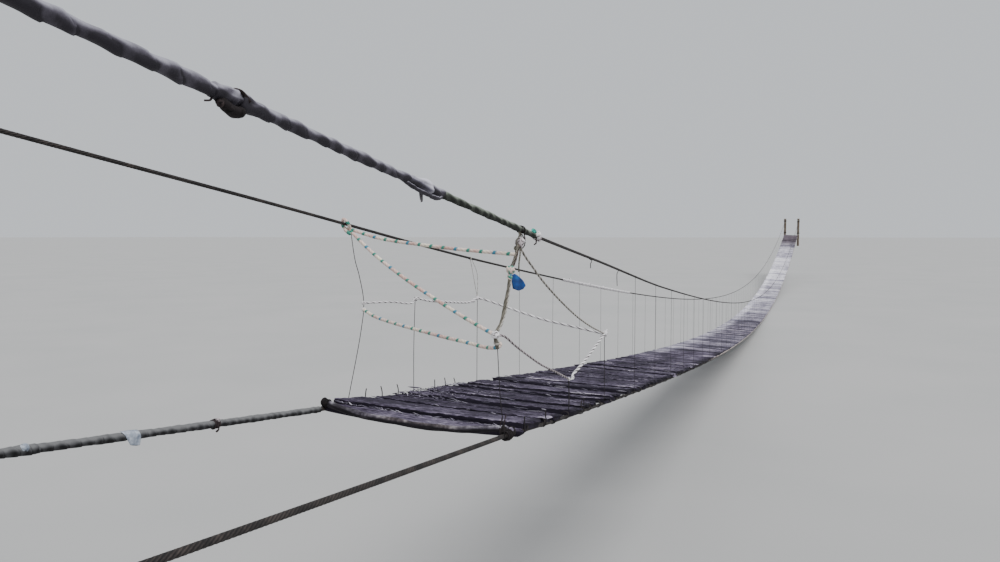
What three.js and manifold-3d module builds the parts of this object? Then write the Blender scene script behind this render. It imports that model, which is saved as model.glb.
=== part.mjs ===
// Rope suspension footbridge, modelled at 1:2. Millimetres, +Z up, +X from the near bank to the far bank.
// The origin is the flat foot of the right-hand near post. Everything else is placed from the bridge line:
// at(x, across, up) is the point x past the first board, across to the left, and up from the board tops.
import * as THREE from "three";
import { mergeVertices } from "three/addons/utils/BufferGeometryUtils.js";
import Module from "manifold-3d";

const wasm = await Module();
wasm.setup();

// Driving dimensions of the bridge line
const DECK_WIDTH = 550;
const BAY = 550; // from one hanger to the next
const BAYS = 63;
const DECK_LENGTH = BAY * BAYS;
const NEAR_RUN = 2200; // from the near posts to the first board
const FAR_RUN = 550; // from the last board to the far posts
const SPAN = NEAR_RUN + DECK_LENGTH + FAR_RUN;
const SAG = 1661;
const RISE = 335; // how much higher the far posts hold the cables
const SKEW = 0.175; // the sag is deepest a little past the middle
const BOW = 258; // the deck has swung to the left in mid-span
const LEAN = 27; // the left board ends are this much higher than the right ones
const GAP = 0.5; // between pieces that rest on each other
const CUT = 0.35; // around a wire that passes through a knot

// Cables, hangers and boards
const DECK_THICKNESS = 12;
const CABLE_RADIUS = 5.75;
const RAIL_RADIUS = 4.5;
const RAIL_WRAP_RADIUS = 8.5;
const CABLE_WRAP_RADIUS = 11;
const WIRE_RADIUS = 1.5;
const CABLE_ACROSS = 272;
const RAIL_ACROSS = CABLE_ACROSS + CABLE_RADIUS; // the hangers hook round the deck cables
const RAIL_UP = 514;
const RAIL_SINK = 13; // past the entry the handrails hang a little closer to the deck
const LEFT_SINK = [-400, 1200]; // between these two places
const RIGHT_SINK = [800, 2400];
const RAIL_CLIMB = 0.0116; // the wound handrail climbs this steeply towards its post
const CABLE_UP = -DECK_THICKNESS - GAP - CABLE_RADIUS;
const CABLE_CLIMB = 0.003; // the left deck cable climbs towards its post
const CABLE_FALL = 0.01; // the right one drops
const CABLE_LIFT = 5; // and is held up by the lashing at the first pole
const CABLE_LIFT_END = 480;
const RAIL_WRAP_END = 235; // the thick winding on the right handrail stops here
const CABLE_WRAP_END = -25;
const FIRST_FULL_HANGER = 3; // nearer ones are broken and mended with rope
const SECTIONS = 7;
const SECTION_LENGTH = DECK_LENGTH / SECTIONS;

// First pole of the deck, laid across both cables
const POLE_RADIUS = 9;
const POLE_END_RADIUS = 12; // its ends are wound where they lie on the cables
const POLE_END = 0.92; // from this share of its half length
const POLE_BOW = 34;
const POLE_DIP = 21;

// Posts
const POST_RADIUS = 50;
const POST_SIDES = 12;
const POST_ACROSS = 276;
const POST_FOOT = -600; // below the deck cable
const POST_TOP = 620;
const TURNS_THICKNESS = 20;
const TURNS_HEIGHT = 44;

// Ropes tied across the entry and along the sides
const STRIPED_RADIUS = 4.4;
const CORD_RADIUS = 3.8;
const THIN_ROPE_RADIUS = 3;
const THICK_ROPE_RADIUS = 4.6;
const UPRIGHT_RADIUS = 5.5;

const WEATHERED_WOOD = { color: 0x8d8793, roughness: 0.9, metalness: 0 };
const TRUNK_WOOD = { color: 0x6f6257, roughness: 0.95, metalness: 0 };
const RUSTY_CABLE = { color: 0x4a3f36, roughness: 0.8, metalness: 0.5 };
const STRIPED_ROPE = { color: 0xd9c3b4, roughness: 0.8, metalness: 0 };
const WHITE_ROPE = { color: 0xc6c1b4, roughness: 0.85, metalness: 0 };
const OLIVE_ROPE = { color: 0x7d7763, roughness: 0.85, metalness: 0 };
const BLUE_CLOTH = { color: 0x1c66b0, roughness: 0.8, metalness: 0 };
const PALE_PLASTIC = { color: 0x9aa3ac, roughness: 0.6, metalness: 0 };

// The bridge line: height of the board tops and sideways bow, x counted from the first board.
function lineUp(x) {
  const part = (x + NEAR_RUN) / SPAN;
  return RISE * part - 4 * SAG * part * (1 - part) * (1 + SKEW * (2 * part - 1));
}

function lineAcross(x) {
  const part = (x + NEAR_RUN) / SPAN;
  return 4 * BOW * part * (1 - part);
}

function at(x, across, up) {
  const z = lineUp(x) + (LEAN * across) / DECK_WIDTH + up;
  return new THREE.Vector3(x, lineAcross(x) + across, z);
}

function ease(x, x0, x1) {
  const part = Math.min(Math.max((x - x0) / (x1 - x0), 0), 1);
  return part * part * (3 - 2 * part);
}

// The four cables: how far across each one is, and its height above the board tops at x.
function railUp(x, sink) {
  return RAIL_UP - RAIL_SINK * ease(x, ...sink);
}

const LEFT_RAIL = { across: RAIL_ACROSS, up: (x) => railUp(x, LEFT_SINK) };
const RIGHT_RAIL = {
  across: -RAIL_ACROSS,
  up: (x) => railUp(x, RIGHT_SINK) + RAIL_CLIMB * Math.max(0, RAIL_WRAP_END - x),
};
const LEFT_CABLE = {
  across: CABLE_ACROSS,
  up: (x) => CABLE_UP + CABLE_CLIMB * Math.max(0, CABLE_WRAP_END - x),
};
const RIGHT_CABLE = {
  across: -CABLE_ACROSS,
  up: (x) => CABLE_UP + CABLE_LIFT * (1 - ease(x, 0, CABLE_LIFT_END))
    - CABLE_FALL * Math.max(0, CABLE_WRAP_END - x),
};

// A stretch of one cable from x0 to x1.
class LineCurve extends THREE.Curve {
  constructor(x0, x1, run) {
    super();
    Object.assign(this, { x0, x1, run });
  }

  getPoint(t) {
    const x = this.x0 + (this.x1 - this.x0) * t;
    return at(x, this.run.across, this.run.up(x));
  }
}

// A rope through hand-chosen points, each [x, across, up].
function ropeCurve(points) {
  return new THREE.CatmullRomCurve3(points.map((p) => at(...p)), false, "centripetal");
}

// Solids
function solid(geometry) {
  const bare = geometry.clone();
  bare.deleteAttribute("normal");
  bare.deleteAttribute("uv");
  const merged = mergeVertices(bare, 1e-4);
  const triVerts = new Uint32Array(merged.index.array);
  const vertProperties = merged.attributes.position.array;
  return new wasm.Manifold(new wasm.Mesh({ numProp: 3, vertProperties, triVerts }));
}

function join(...solids) {
  return solids.reduce((whole, next) => whole.add(next));
}

function tube(curve, radius, sides, steps) {
  const corners = [];
  for (let i = 0; i < sides; i++) {
    const turn = (2 * Math.PI * (i + 0.5)) / sides;
    corners.push(new THREE.Vector2(radius * Math.cos(turn), radius * Math.sin(turn)));
  }
  const section = new THREE.Shape(corners);
  const options = { steps, extrudePath: curve, bevelEnabled: false };
  return solid(new THREE.ExtrudeGeometry(section, options));
}

function ball(point, radius, stretch = 1) {
  const geometry = new THREE.SphereGeometry(radius, 8, 6);
  geometry.scale(1, 1, stretch);
  return solid(geometry.translate(...at(...point)));
}

function wire(x, across, fromUp, toUp, radius) {
  const low = at(x, across, fromUp);
  const high = at(x, across, toUp);
  const side = 2 * radius;
  const geometry = new THREE.BoxGeometry(side, side, high.z - low.z);
  return solid(geometry.translate(low.x, low.y, (low.z + high.z) / 2));
}

// Turns of a cable around a round post.
function turns(x, run) {
  const inner = POST_RADIUS + GAP;
  const outer = inner + TURNS_THICKNESS;
  const half = TURNS_HEIGHT / 2;
  const profile = [
    [inner, -half],
    [outer, -half],
    [outer, half],
    [inner, half],
    [inner, -half],
  ].map((p) => new THREE.Vector2(...p));
  const ring = new THREE.LatheGeometry(profile, POST_SIDES).rotateX(Math.PI / 2);
  const level = at(x, run.across, run.up(x));
  return solid(ring.translate(x, postY(x, run.across), level.z));
}

function postY(x, across) {
  return lineAcross(x) + Math.sign(across) * POST_ACROSS;
}

// Makes the mesh of one named sub-part.
const bridge = new THREE.Group();

function place(name, shape, look) {
  const { vertProperties, triVerts } = shape.getMesh();
  const geometry = new THREE.BufferGeometry();
  geometry.setAttribute("position", new THREE.BufferAttribute(vertProperties, 3));
  geometry.setIndex(new THREE.BufferAttribute(triVerts, 1));
  const faceted = geometry.toNonIndexed();
  faceted.computeVertexNormals();
  const mesh = new THREE.Mesh(faceted, new THREE.MeshStandardMaterial(look));
  mesh.name = name;
  bridge.add(mesh);
}

const NEAR_POST_X = -NEAR_RUN;
const FAR_POST_X = DECK_LENGTH + FAR_RUN;
const SIDES = [
  { name: "left", sign: 1 },
  { name: "right", sign: -1 },
];

function post(x, sign) {
  const height = POST_TOP - POST_FOOT;
  const trunk = new THREE.CylinderGeometry(POST_RADIUS, POST_RADIUS, height, POST_SIDES);
  trunk.rotateX(Math.PI / 2);
  const middle = lineUp(x) + (POST_TOP + POST_FOOT) / 2;
  return solid(trunk.translate(x, postY(x, sign), middle));
}

// A solid stretch of cable, in steps of about one bay.
function cable(x0, x1, run, radius, grow = 0) {
  const steps = Math.max(1, Math.round((x1 - x0) / BAY));
  return tube(new LineCurve(x0, x1, run), radius + grow, radius > 8 ? 8 : 6, steps);
}

// The bent wire that still holds the left deck cable at the entry.
const ENTRY_WIRE = [
  [152, RAIL_ACROSS, LEFT_RAIL.up(152)],
  [178, RAIL_ACROSS, 411],
  [200, RAIL_ACROSS, 368],
  [225, RAIL_ACROSS, 285],
  [208, RAIL_ACROSS, 203],
  [126, RAIL_ACROSS, CABLE_UP],
];

function entryWire(grow = 0) {
  return tube(ropeCurve(ENTRY_WIRE), WIRE_RADIUS + grow, 6, 12);
}

// The four cables between the near posts and the first boards, two of them wound thick.
const REACH = POST_RADIUS + GAP + TURNS_THICKNESS / 2;
const NEAR_RUNS = {
  handrail_left_near: { run: LEFT_RAIL, radius: RAIL_RADIUS, end: 0 },
  handrail_right_near: { run: RIGHT_RAIL, radius: RAIL_WRAP_RADIUS, end: RAIL_WRAP_END },
  deck_cable_left_near: { run: LEFT_CABLE, radius: CABLE_WRAP_RADIUS, end: CABLE_WRAP_END },
  deck_cable_right_near: { run: RIGHT_CABLE, radius: CABLE_RADIUS, end: CABLE_WRAP_END },
};

function nearRun({ run, radius, end }, grow = 0) {
  return cable(NEAR_POST_X + REACH, end, run, radius, grow);
}

// Deck and cables are divided halfway between hangers.
function sectionEdge(k) {
  if (k === 0) return 0;
  return k === SECTIONS ? DECK_LENGTH : k * SECTION_LENGTH - BAY / 2;
}

// One stretch of one side: handrail cable and deck cable, joined by their wire hangers.
function side(k, sign) {
  const name = sign > 0 ? "left" : "right";
  const last = k === SECTIONS - 1;
  const start = sectionEdge(k) + CUT / 2;
  const end = last ? FAR_POST_X - REACH : sectionEdge(k + 1) - CUT / 2;
  const rail = NEAR_RUNS["handrail_" + name + "_near"];
  const deckCable = NEAR_RUNS["deck_cable_" + name + "_near"];
  const railStart = k ? start : rail.end + CUT;
  const cableStart = k ? start : deckCable.end + CUT;
  const pieces = [
    cable(railStart, end, rail.run, RAIL_RADIUS),
    cable(cableStart, end, deckCable.run, CABLE_RADIUS),
  ];
  for (let n = FIRST_FULL_HANGER; n <= BAYS; n++) {
    const x = Math.min(n * BAY, DECK_LENGTH - 10);
    if (x > start && x < end) {
      pieces.push(wire(x, rail.run.across, CABLE_UP, rail.run.up(x), WIRE_RADIUS));
    }
  }
  if (last) {
    pieces.push(turns(FAR_POST_X, rail.run), turns(FAR_POST_X, deckCable.run));
  }
  if (k === 0 && sign > 0) pieces.push(entryWire());
  return join(...pieces);
}

// The cables near the entry, a little thicker, to cut what is tied round them.
function entryCables(sign) {
  const name = sign > 0 ? "left" : "right";
  const rail = NEAR_RUNS["handrail_" + name + "_near"];
  const deckCable = NEAR_RUNS["deck_cable_" + name + "_near"];
  const pieces = [
    nearRun(rail, CUT),
    nearRun(deckCable, CUT),
    cable(rail.end + CUT, sectionEdge(1), rail.run, RAIL_RADIUS, CUT),
    cable(deckCable.end + CUT, sectionEdge(1), deckCable.run, CABLE_RADIUS, CUT),
  ];
  if (sign > 0) pieces.push(entryWire(CUT));
  return join(...pieces);
}

// Boards of one deck section, as one mat that follows the bridge line.
function deckMat(x0, x1) {
  const steps = Math.round((x1 - x0) / BAY);
  const mat = new THREE.BoxGeometry(x1 - x0, DECK_WIDTH, DECK_THICKNESS, steps, 1, 1);
  mat.translate((x0 + x1) / 2, 0, -DECK_THICKNESS / 2);
  const place3 = mat.attributes.position;
  for (let i = 0; i < place3.count; i++) {
    const { x, y, z } = at(place3.getX(i), place3.getY(i), place3.getZ(i));
    place3.setXYZ(i, x, y, z);
  }
  return solid(mat);
}

for (const { name, sign } of SIDES) {
  place("near_post_" + name, post(NEAR_POST_X, sign), TRUNK_WOOD);
  place("far_post_" + name, post(FAR_POST_X, sign), TRUNK_WOOD);
}

for (const [name, near] of Object.entries(NEAR_RUNS)) {
  place(name, join(nearRun(near), turns(NEAR_POST_X, near.run)), RUSTY_CABLE);
}

for (let k = 0; k < SECTIONS; k++) {
  place("left_side_" + (k + 1), side(k, 1), RUSTY_CABLE);
  place("right_side_" + (k + 1), side(k, -1), RUSTY_CABLE);
}

const cutLeft = entryCables(1);
const cutRight = entryCables(-1);

// The crooked pole bows towards the near bank and dips in the middle.
const POLE_UP = -DECK_THICKNESS + POLE_END_RADIUS + GAP / 2;

function polePoint(share) {
  const bend = 1 - share * share;
  const rise = (CABLE_LIFT * (1 - share)) / 2;
  return [-POLE_BOW * bend, (share * DECK_WIDTH) / 2, POLE_UP + rise - POLE_DIP * bend];
}

const pole = tube(ropeCurve([-1, -0.5, 0, 0.5, 1].map(polePoint)), POLE_RADIUS, 8, 10);
const poleEnds = [-1, 1].map((end) =>
  tube(ropeCurve([polePoint(POLE_END * end), polePoint(end)]), POLE_END_RADIUS, 8, 1));
place("first_pole", join(pole, ...poleEnds), WEATHERED_WOOD);

// The first boards are notched over the lifted part of the right deck cable.
function liftedCable() {
  const end = sectionEdge(1) - CUT / 2;
  return cable(CABLE_WRAP_END + CUT, end, RIGHT_CABLE, CABLE_RADIUS, 0.9 * GAP);
}

const FIRST_BOARD = POLE_END_RADIUS + 3.5;
for (let k = 0; k < SECTIONS; k++) {
  const x0 = k === 0 ? FIRST_BOARD : sectionEdge(k) + CUT / 2;
  const x1 = sectionEdge(k + 1) - CUT / 2;
  const mat = deckMat(x0, x1);
  place("deck_section_" + (k + 1), k ? mat : mat.subtract(liftedCable()), WEATHERED_WOOD);
}

// Upright rope at the right of the entry, tied to the handrail, with the wire that it holds.
const RIGHT = -RAIL_ACROSS;
const UPRIGHT_TOP = [70, RIGHT, 478];
const UPRIGHT_KNOT = [12, RIGHT, 405];
const LOWER_KNOT = [-92, RIGHT, 240];
const UPRIGHT = [
  [84, RIGHT, 504],
  UPRIGHT_TOP,
  [36, RIGHT, 432],
  UPRIGHT_KNOT,
  [0, RIGHT, 361],
  [-24, RIGHT, 319],
  [-52, RIGHT, 271],
  LOWER_KNOT,
  [-78, RIGHT, 208],
];
const UPRIGHT_WIRE = [
  [-78, RIGHT, 208],
  [-59, RIGHT, 87],
  [-27, RIGHT, CABLE_UP],
];

function uprightRope(grow = 0) {
  return join(
    tube(ropeCurve(UPRIGHT), UPRIGHT_RADIUS + grow, 8, 20),
    tube(ropeCurve(UPRIGHT_WIRE), WIRE_RADIUS + grow, 6, 6),
    ball([84, RIGHT, RAIL_UP], 16 + grow),
    ball(UPRIGHT_TOP, 11 + grow),
    ball(UPRIGHT_KNOT, 12 + grow, 1.2),
    ball(LOWER_KNOT, 12 + grow),
  );
}

place("entry_upright_rope", uprightRope().subtract(cutRight), WHITE_ROPE);

// Striped rope zigzagging across the entry: over to the left handrail, down to the lower knot,
// and from the bent wire on the left back to the foot of the upright rope.
const LEFT = RAIL_ACROSS;
const LOOP = [140, LEFT, 500];
const WIRE_KNOT = [223, LEFT, 266];
const STRIPED_TOP = [LOOP, [128, 180, 478], [113, 101, 468], [98, 21, 462], [82, -63, 456],
  [69, -134, 452], [54, -214, 449], [46, RIGHT, 447]];
const STRIPED_DIAGONAL = [LOOP, [97, 162, 425], [36, 20, 355], [-26, -125, 295],
  [-57, -196, 268], LOWER_KNOT];
const STRIPED_BOTTOM = [WIRE_KNOT, [192, 221, 249], [45, -66, 218], [-1, -156, 212],
  [-42, -236, 206], [-76, RIGHT, 212]];

function stripedRope(points, grow = 0) {
  return tube(ropeCurve(points), STRIPED_RADIUS + grow, 8, 16);
}

const cutUpright = uprightRope(CUT);
const upperBarrier = join(
  stripedRope(STRIPED_TOP),
  stripedRope(STRIPED_DIAGONAL),
  ball([133, LEFT, RAIL_UP - 4], 14, 1.1),
);
const lowerBarrier = join(stripedRope(STRIPED_BOTTOM), ball(WIRE_KNOT, 8));
const cutEntry = join(cutUpright, cutLeft);
place("barrier_rope_upper", upperBarrier.subtract(cutEntry), STRIPED_ROPE);
place("barrier_rope_lower", lowerBarrier.subtract(cutEntry), STRIPED_ROPE);

// White cord along the left side and over to the right, which holds the lower halves of broken hangers.
const CORD_START = [223, LEFT, 286];
const CORD_KNOT_1 = [565, LEFT, 314];
const CORD_KNOT_2 = [1125, LEFT, 344];
const CORD_KNOT_3 = [1050, RIGHT, 249];
const MID_CORD = [CORD_START, [400, LEFT, 297], [545, LEFT, 301], CORD_KNOT_1, [678, LEFT, 313],
  [846, LEFT, 316], [1060, LEFT, 326], CORD_KNOT_2, [1114, 159, 321], [1098, 67, 300],
  [1083, -25, 281], [1072, -93, 272], CORD_KNOT_3];
const STRING_TOP = [1050, LEFT, LEFT_RAIL.up(1050)];

function midCord() {
  return join(
    tube(ropeCurve(MID_CORD), CORD_RADIUS, 8, 44),
    ball(CORD_START, 7),
    ball(CORD_KNOT_1, 8),
    ball(CORD_KNOT_2, 9),
    ball(CORD_KNOT_3, 11),
    wire(550, LEFT, CABLE_UP, CORD_KNOT_1[2], WIRE_RADIUS),
    wire(1118, LEFT, CABLE_UP, CORD_KNOT_2[2], WIRE_RADIUS),
    wire(1053, RIGHT, CABLE_UP, CORD_KNOT_3[2], WIRE_RADIUS),
    tube(ropeCurve([STRING_TOP, CORD_KNOT_2]), WIRE_RADIUS, 6, 2),
    ball(STRING_TOP, 8),
  );
}

place("mid_cord", midCord().subtract(join(cutLeft, cutRight)), WHITE_ROPE);

// Right side: a rope in place of the second hanger's upper half, and two that meet over the first.
const HANGER_KNOT = [558, RIGHT, 106];
const SLANTING_ROPE = [UPRIGHT_TOP, [190, RIGHT, 423], [295, RIGHT, 392], [446, RIGHT, 347],
  [716, RIGHT, 296], CORD_KNOT_3];
const LOWER_ROPE = [LOWER_KNOT, [-29, RIGHT, 241], [125, RIGHT, 193], [303, RIGHT, 151],
  [452, RIGHT, 124], HANGER_KNOT];
const THICK_ROPE = [CORD_KNOT_3, [829, RIGHT, 183], [668, RIGHT, 131], HANGER_KNOT];
const cordKnot = ball(CORD_KNOT_3, 11 + CUT);
const hangerKnot = ball(HANGER_KNOT, 9 + CUT);

function thickSideRope(grow = 0) {
  return tube(ropeCurve(THICK_ROPE), THICK_ROPE_RADIUS + grow, 8, 8);
}

const thickRope = join(
  thickSideRope().subtract(cordKnot),
  ball(HANGER_KNOT, 9),
  wire(558, RIGHT, CABLE_UP, HANGER_KNOT[2], WIRE_RADIUS),
);
place("thick_side_rope", thickRope.subtract(cutRight), WHITE_ROPE);
const cutThick = join(thickSideRope(CUT), cordKnot, hangerKnot, cutUpright);
const slanting = tube(ropeCurve(SLANTING_ROPE), THIN_ROPE_RADIUS, 8, 14);
place("slanting_rope", slanting.subtract(cutThick), OLIVE_ROPE);
const lowerRope = tube(ropeCurve(LOWER_ROPE), THIN_ROPE_RADIUS, 8, 12);
place("lower_side_rope", lowerRope.subtract(cutThick), OLIVE_ROPE);

// Lashings wound on the handrails and on the left deck cable, each a short sleeve.
function sleeve(x0, x1, run, radius, inside) {
  const outer = tube(new LineCurve(x0, x1, run), radius, 8, 2);
  const bore = tube(new LineCurve(x0 - 5, x1 + 5, run), inside + CUT, 8, 2);
  return outer.subtract(bore);
}

const rightLashing = sleeve(212, 230, RIGHT_RAIL, 14, RAIL_WRAP_RADIUS);
place("handrail_lashing", rightLashing, WHITE_ROPE);
const cableLashing = sleeve(-448, -420, LEFT_CABLE, 15, CABLE_WRAP_RADIUS);
place("deck_cable_lashing", cableLashing, OLIVE_ROPE);

// Rags: one knotted on the upright rope, one wound on the left deck cable, one strip on the handrail.
const RAG_THICKNESS = 1.6;
const VIEW_TURN = THREE.MathUtils.degToRad(22); // the blue rag hangs turned towards the near bank

function rag(outline, point, turn) {
  const shape = new THREE.Shape(outline.map((p) => new THREE.Vector2(...p)));
  const cloth = new THREE.ExtrudeGeometry(shape, { depth: RAG_THICKNESS, bevelEnabled: false });
  cloth.translate(0, 0, -RAG_THICKNESS / 2).rotateX(Math.PI / 2);
  cloth.rotateZ(turn);
  return solid(cloth.translate(...at(...point)));
}

const BLUE_OUTLINE = [[0, 2], [9, 3], [30, -14], [26, -24], [2, -30]];
const blueRag = rag(BLUE_OUTLINE, [4, RIGHT, 384], VIEW_TURN - Math.PI / 2);
place("blue_rag", blueRag.subtract(cutUpright), BLUE_CLOTH);

const paleSleeve = sleeve(-676, -648, LEFT_CABLE, 13.5, CABLE_WRAP_RADIUS);
const paleTabTop = [-662, CABLE_ACROSS - 13, LEFT_CABLE.up(-662)];
const paleTab = rag([[-11, 0], [11, 0], [8, -34], [-6, -30]], paleTabTop, 0);
place("pale_rag", join(paleSleeve, paleTab), PALE_PLASTIC);

const stripSleeve = sleeve(-470, -450, RIGHT_RAIL, 11.5, RAIL_WRAP_RADIUS);
const stripTop = [-460, RIGHT + 10.5, RIGHT_RAIL.up(-460)];
const strip = rag([[-8, 0], [8, 0], [6, -30], [-2, -34]], stripTop, 0);
place("handrail_strip", join(stripSleeve, strip), PALE_PLASTIC);

// The group's origin goes to the middle of the right-hand near post's foot.
const footX = NEAR_POST_X;
const footZ = lineUp(NEAR_POST_X) + POST_FOOT;
bridge.position.set(-footX, -postY(footX, -1), -footZ);
const root = new THREE.Group();
root.add(bridge);

export default root;
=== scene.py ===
# Rope suspension footbridge at half size: its boards, wound cables, wire hangers, mended ropes and rags.
import math

import bpy
import numpy as np
from mathutils import Matrix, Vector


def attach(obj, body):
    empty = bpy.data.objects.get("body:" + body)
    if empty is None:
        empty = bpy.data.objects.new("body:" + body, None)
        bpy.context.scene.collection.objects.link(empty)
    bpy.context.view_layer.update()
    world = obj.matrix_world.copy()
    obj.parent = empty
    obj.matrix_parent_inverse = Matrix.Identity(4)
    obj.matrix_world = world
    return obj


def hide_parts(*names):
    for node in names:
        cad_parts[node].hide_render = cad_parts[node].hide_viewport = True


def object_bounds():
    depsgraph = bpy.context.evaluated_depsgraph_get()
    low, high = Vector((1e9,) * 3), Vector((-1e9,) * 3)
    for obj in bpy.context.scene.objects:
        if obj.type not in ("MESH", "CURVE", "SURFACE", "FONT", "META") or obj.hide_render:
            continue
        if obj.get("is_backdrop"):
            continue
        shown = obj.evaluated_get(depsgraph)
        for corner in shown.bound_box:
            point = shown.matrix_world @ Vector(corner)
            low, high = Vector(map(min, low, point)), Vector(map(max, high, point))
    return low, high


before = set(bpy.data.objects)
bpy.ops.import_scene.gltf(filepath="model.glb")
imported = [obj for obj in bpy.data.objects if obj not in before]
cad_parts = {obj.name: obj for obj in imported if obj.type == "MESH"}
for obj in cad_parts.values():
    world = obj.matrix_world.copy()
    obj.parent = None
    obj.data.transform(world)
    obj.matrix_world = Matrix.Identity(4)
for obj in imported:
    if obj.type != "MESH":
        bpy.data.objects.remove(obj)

cad_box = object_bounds()

# the bridge line, in metres
NEAR_RUN = 2.2  # from the near posts to the first board
DECK_LENGTH, DECK_WIDTH, DECK_THICKNESS = 34.65, 0.55, 0.012
SPAN = 37.4
BAY = 0.55  # from hanger to hanger
NEAR_X, FAR_X = -NEAR_RUN, DECK_LENGTH + BAY
SAG, RISE, SKEW, BOW, LEAN = 1.661, 0.335, 0.175, 0.258, 0.027
CABLE_RADIUS, RAIL_RADIUS = 0.00575, 0.0045
CABLE_ACROSS, RAIL_ACROSS = 0.272, 0.27775
CABLE_UP, RAIL_UP, RAIL_SINK = -0.01825, 0.514, 0.013
RAIL_WRAP_END, CABLE_WRAP_END = 0.235, -0.025
POST_ACROSS, FOOT_DROP, POST_RADIUS, POST_HEIGHT = 0.276, 0.6, 0.05, 1.22


def line_up(x):
    """Height of the board tops: a rising chord less a parabola that is skewed towards the far bank."""
    part = (x + NEAR_RUN) / SPAN
    return RISE * part - 4 * SAG * part * (1 - part) * (1 + SKEW * (2 * part - 1))


def line_across(x):
    """Sideways bow of the deck: a parabola over the span."""
    part = (x + NEAR_RUN) / SPAN
    return 4 * BOW * part * (1 - part)


def at(x, across, up):
    """Points in the root frame: x past the first board, across to the left, up from the board tops."""
    x, across, up = np.broadcast_arrays(np.asarray(x, float), across, up)
    lean = LEAN * across / DECK_WIDTH
    return np.stack([x + NEAR_RUN, line_across(x) + across + POST_ACROSS, line_up(x) + lean + up + FOOT_DROP],
                    -1)


def ease(x, start, end):
    """Smooth step from 0 at start to 1 at end."""
    part = np.clip((np.asarray(x, float) - start) / (end - start), 0, 1)
    return part * part * (3 - 2 * part)


def rail_up(x, start, end):
    """Height of a handrail above the board tops: it sinks by RAIL_SINK in a smooth step from start to end."""
    return RAIL_UP - RAIL_SINK * ease(x, start, end)


def right_cable_up(x):
    """The right deck cable rides over the first pole's end and drops towards its post."""
    return CABLE_UP + 0.005 * (1 - ease(x, 0, 0.48)) - 0.01 * np.maximum(0, CABLE_WRAP_END - x)


RUNS = {  # how far across each cable is, and its height above the board tops at x
    "rail_left": (RAIL_ACROSS, lambda x: rail_up(x, -0.4, 1.2)),
    "rail_right": (-RAIL_ACROSS, lambda x: rail_up(x, 0.8, 2.4) + 0.0116 * np.maximum(0, RAIL_WRAP_END - x)),
    "cable_left": (CABLE_ACROSS, lambda x: CABLE_UP + 0.003 * np.maximum(0, CABLE_WRAP_END - x)),
    "cable_right": (-CABLE_ACROSS, right_cable_up),
}


def run_path(run, x0, x1, step):
    """Points along one cable from x0 to x1."""
    across, up = RUNS[run]
    x = np.linspace(x0, x1, max(3, int(round((x1 - x0) / step)) + 1))
    return at(x, across, up(x))


# camera, floor and light
EYE, TURN, DIP = (0.42505, -0.64304, 0.78269), math.radians(22.13), math.radians(3.35)
ahead = np.array([math.cos(TURN) * math.cos(DIP), math.sin(TURN) * math.cos(DIP), -math.sin(DIP)])
right = np.array([math.sin(TURN), -math.cos(TURN), 0.0])
above = np.cross(right, ahead)
camera = bpy.data.objects.new("camera", bpy.data.cameras.new("camera"))
camera.data.lens, camera.data.sensor_width = 27.71, 36.0
camera.data.clip_start, camera.data.clip_end = 0.02, 4000.0
camera.matrix_world = Matrix([[right[i], above[i], -ahead[i], EYE[i]] for i in range(3)] + [[0, 0, 0, 1]])
bpy.context.scene.collection.objects.link(camera)
bpy.context.scene.camera = camera


def colour(code):
    """A linear colour from an sRGB hex code."""
    parts = np.array([int(code[i : i + 2], 16) / 255 for i in (1, 3, 5)])
    linear = np.where(parts <= 0.04045, parts / 12.92, ((parts + 0.055) / 1.055) ** 2.4)
    return (*linear.tolist(), 1.0)


USED = {"TexCoord": "Object", "Attribute": "Fac", "Mix": "Result", "NewGeometry": "Normal",
        "SeparateXYZ": "Z"}


def add(tree, kind, sockets=(), stops=(), output=None, **settings):
    """Adds a node with its settings, its sockets by name or in order, each a value or another node's output,
    and a ramp's stops. Gives the named output, or else the one in USED or the first."""
    made = tree.nodes.new("ShaderNode" + kind)
    for name, value in settings.items():
        setattr(made, name, value)
    for name, value in sockets.items() if isinstance(sockets, dict) else enumerate(sockets):
        if isinstance(value, bpy.types.NodeSocket):
            tree.links.new(value, made.inputs[name])
        else:
            made.inputs[name].default_value = value
    for i, (place, code) in enumerate(stops):
        elements = made.color_ramp.elements
        element = elements[0] if i == 0 else elements[-1] if i == len(stops) - 1 else elements.new(place)
        element.position, element.color = place, colour(code)
    return made.outputs[output or USED.get(kind, 0)] if len(made.outputs) else None


def finish(name, build):
    """A material whose Principled shader is filled in by build(tree), which returns its sockets."""
    material = bpy.data.materials.new(name)
    material.use_nodes = True
    tree = material.node_tree
    tree.nodes.clear()
    add(tree, "OutputMaterial", {"Surface": add(tree, "BsdfPrincipled", build(tree))})
    return material


def plaster(tree):
    """Pale trowelled plaster, with clouds a metre or two wide."""
    cloud = add(tree, "TexNoise", {"Vector": add(tree, "TexCoord"), "Scale": 0.6, "Detail": 2.0})
    return {"Base Color": add(tree, "ValToRGB", [cloud], [(0.3, "#a8a8a7"), (0.7, "#adacab")]),
            "Roughness": 0.9}


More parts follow.
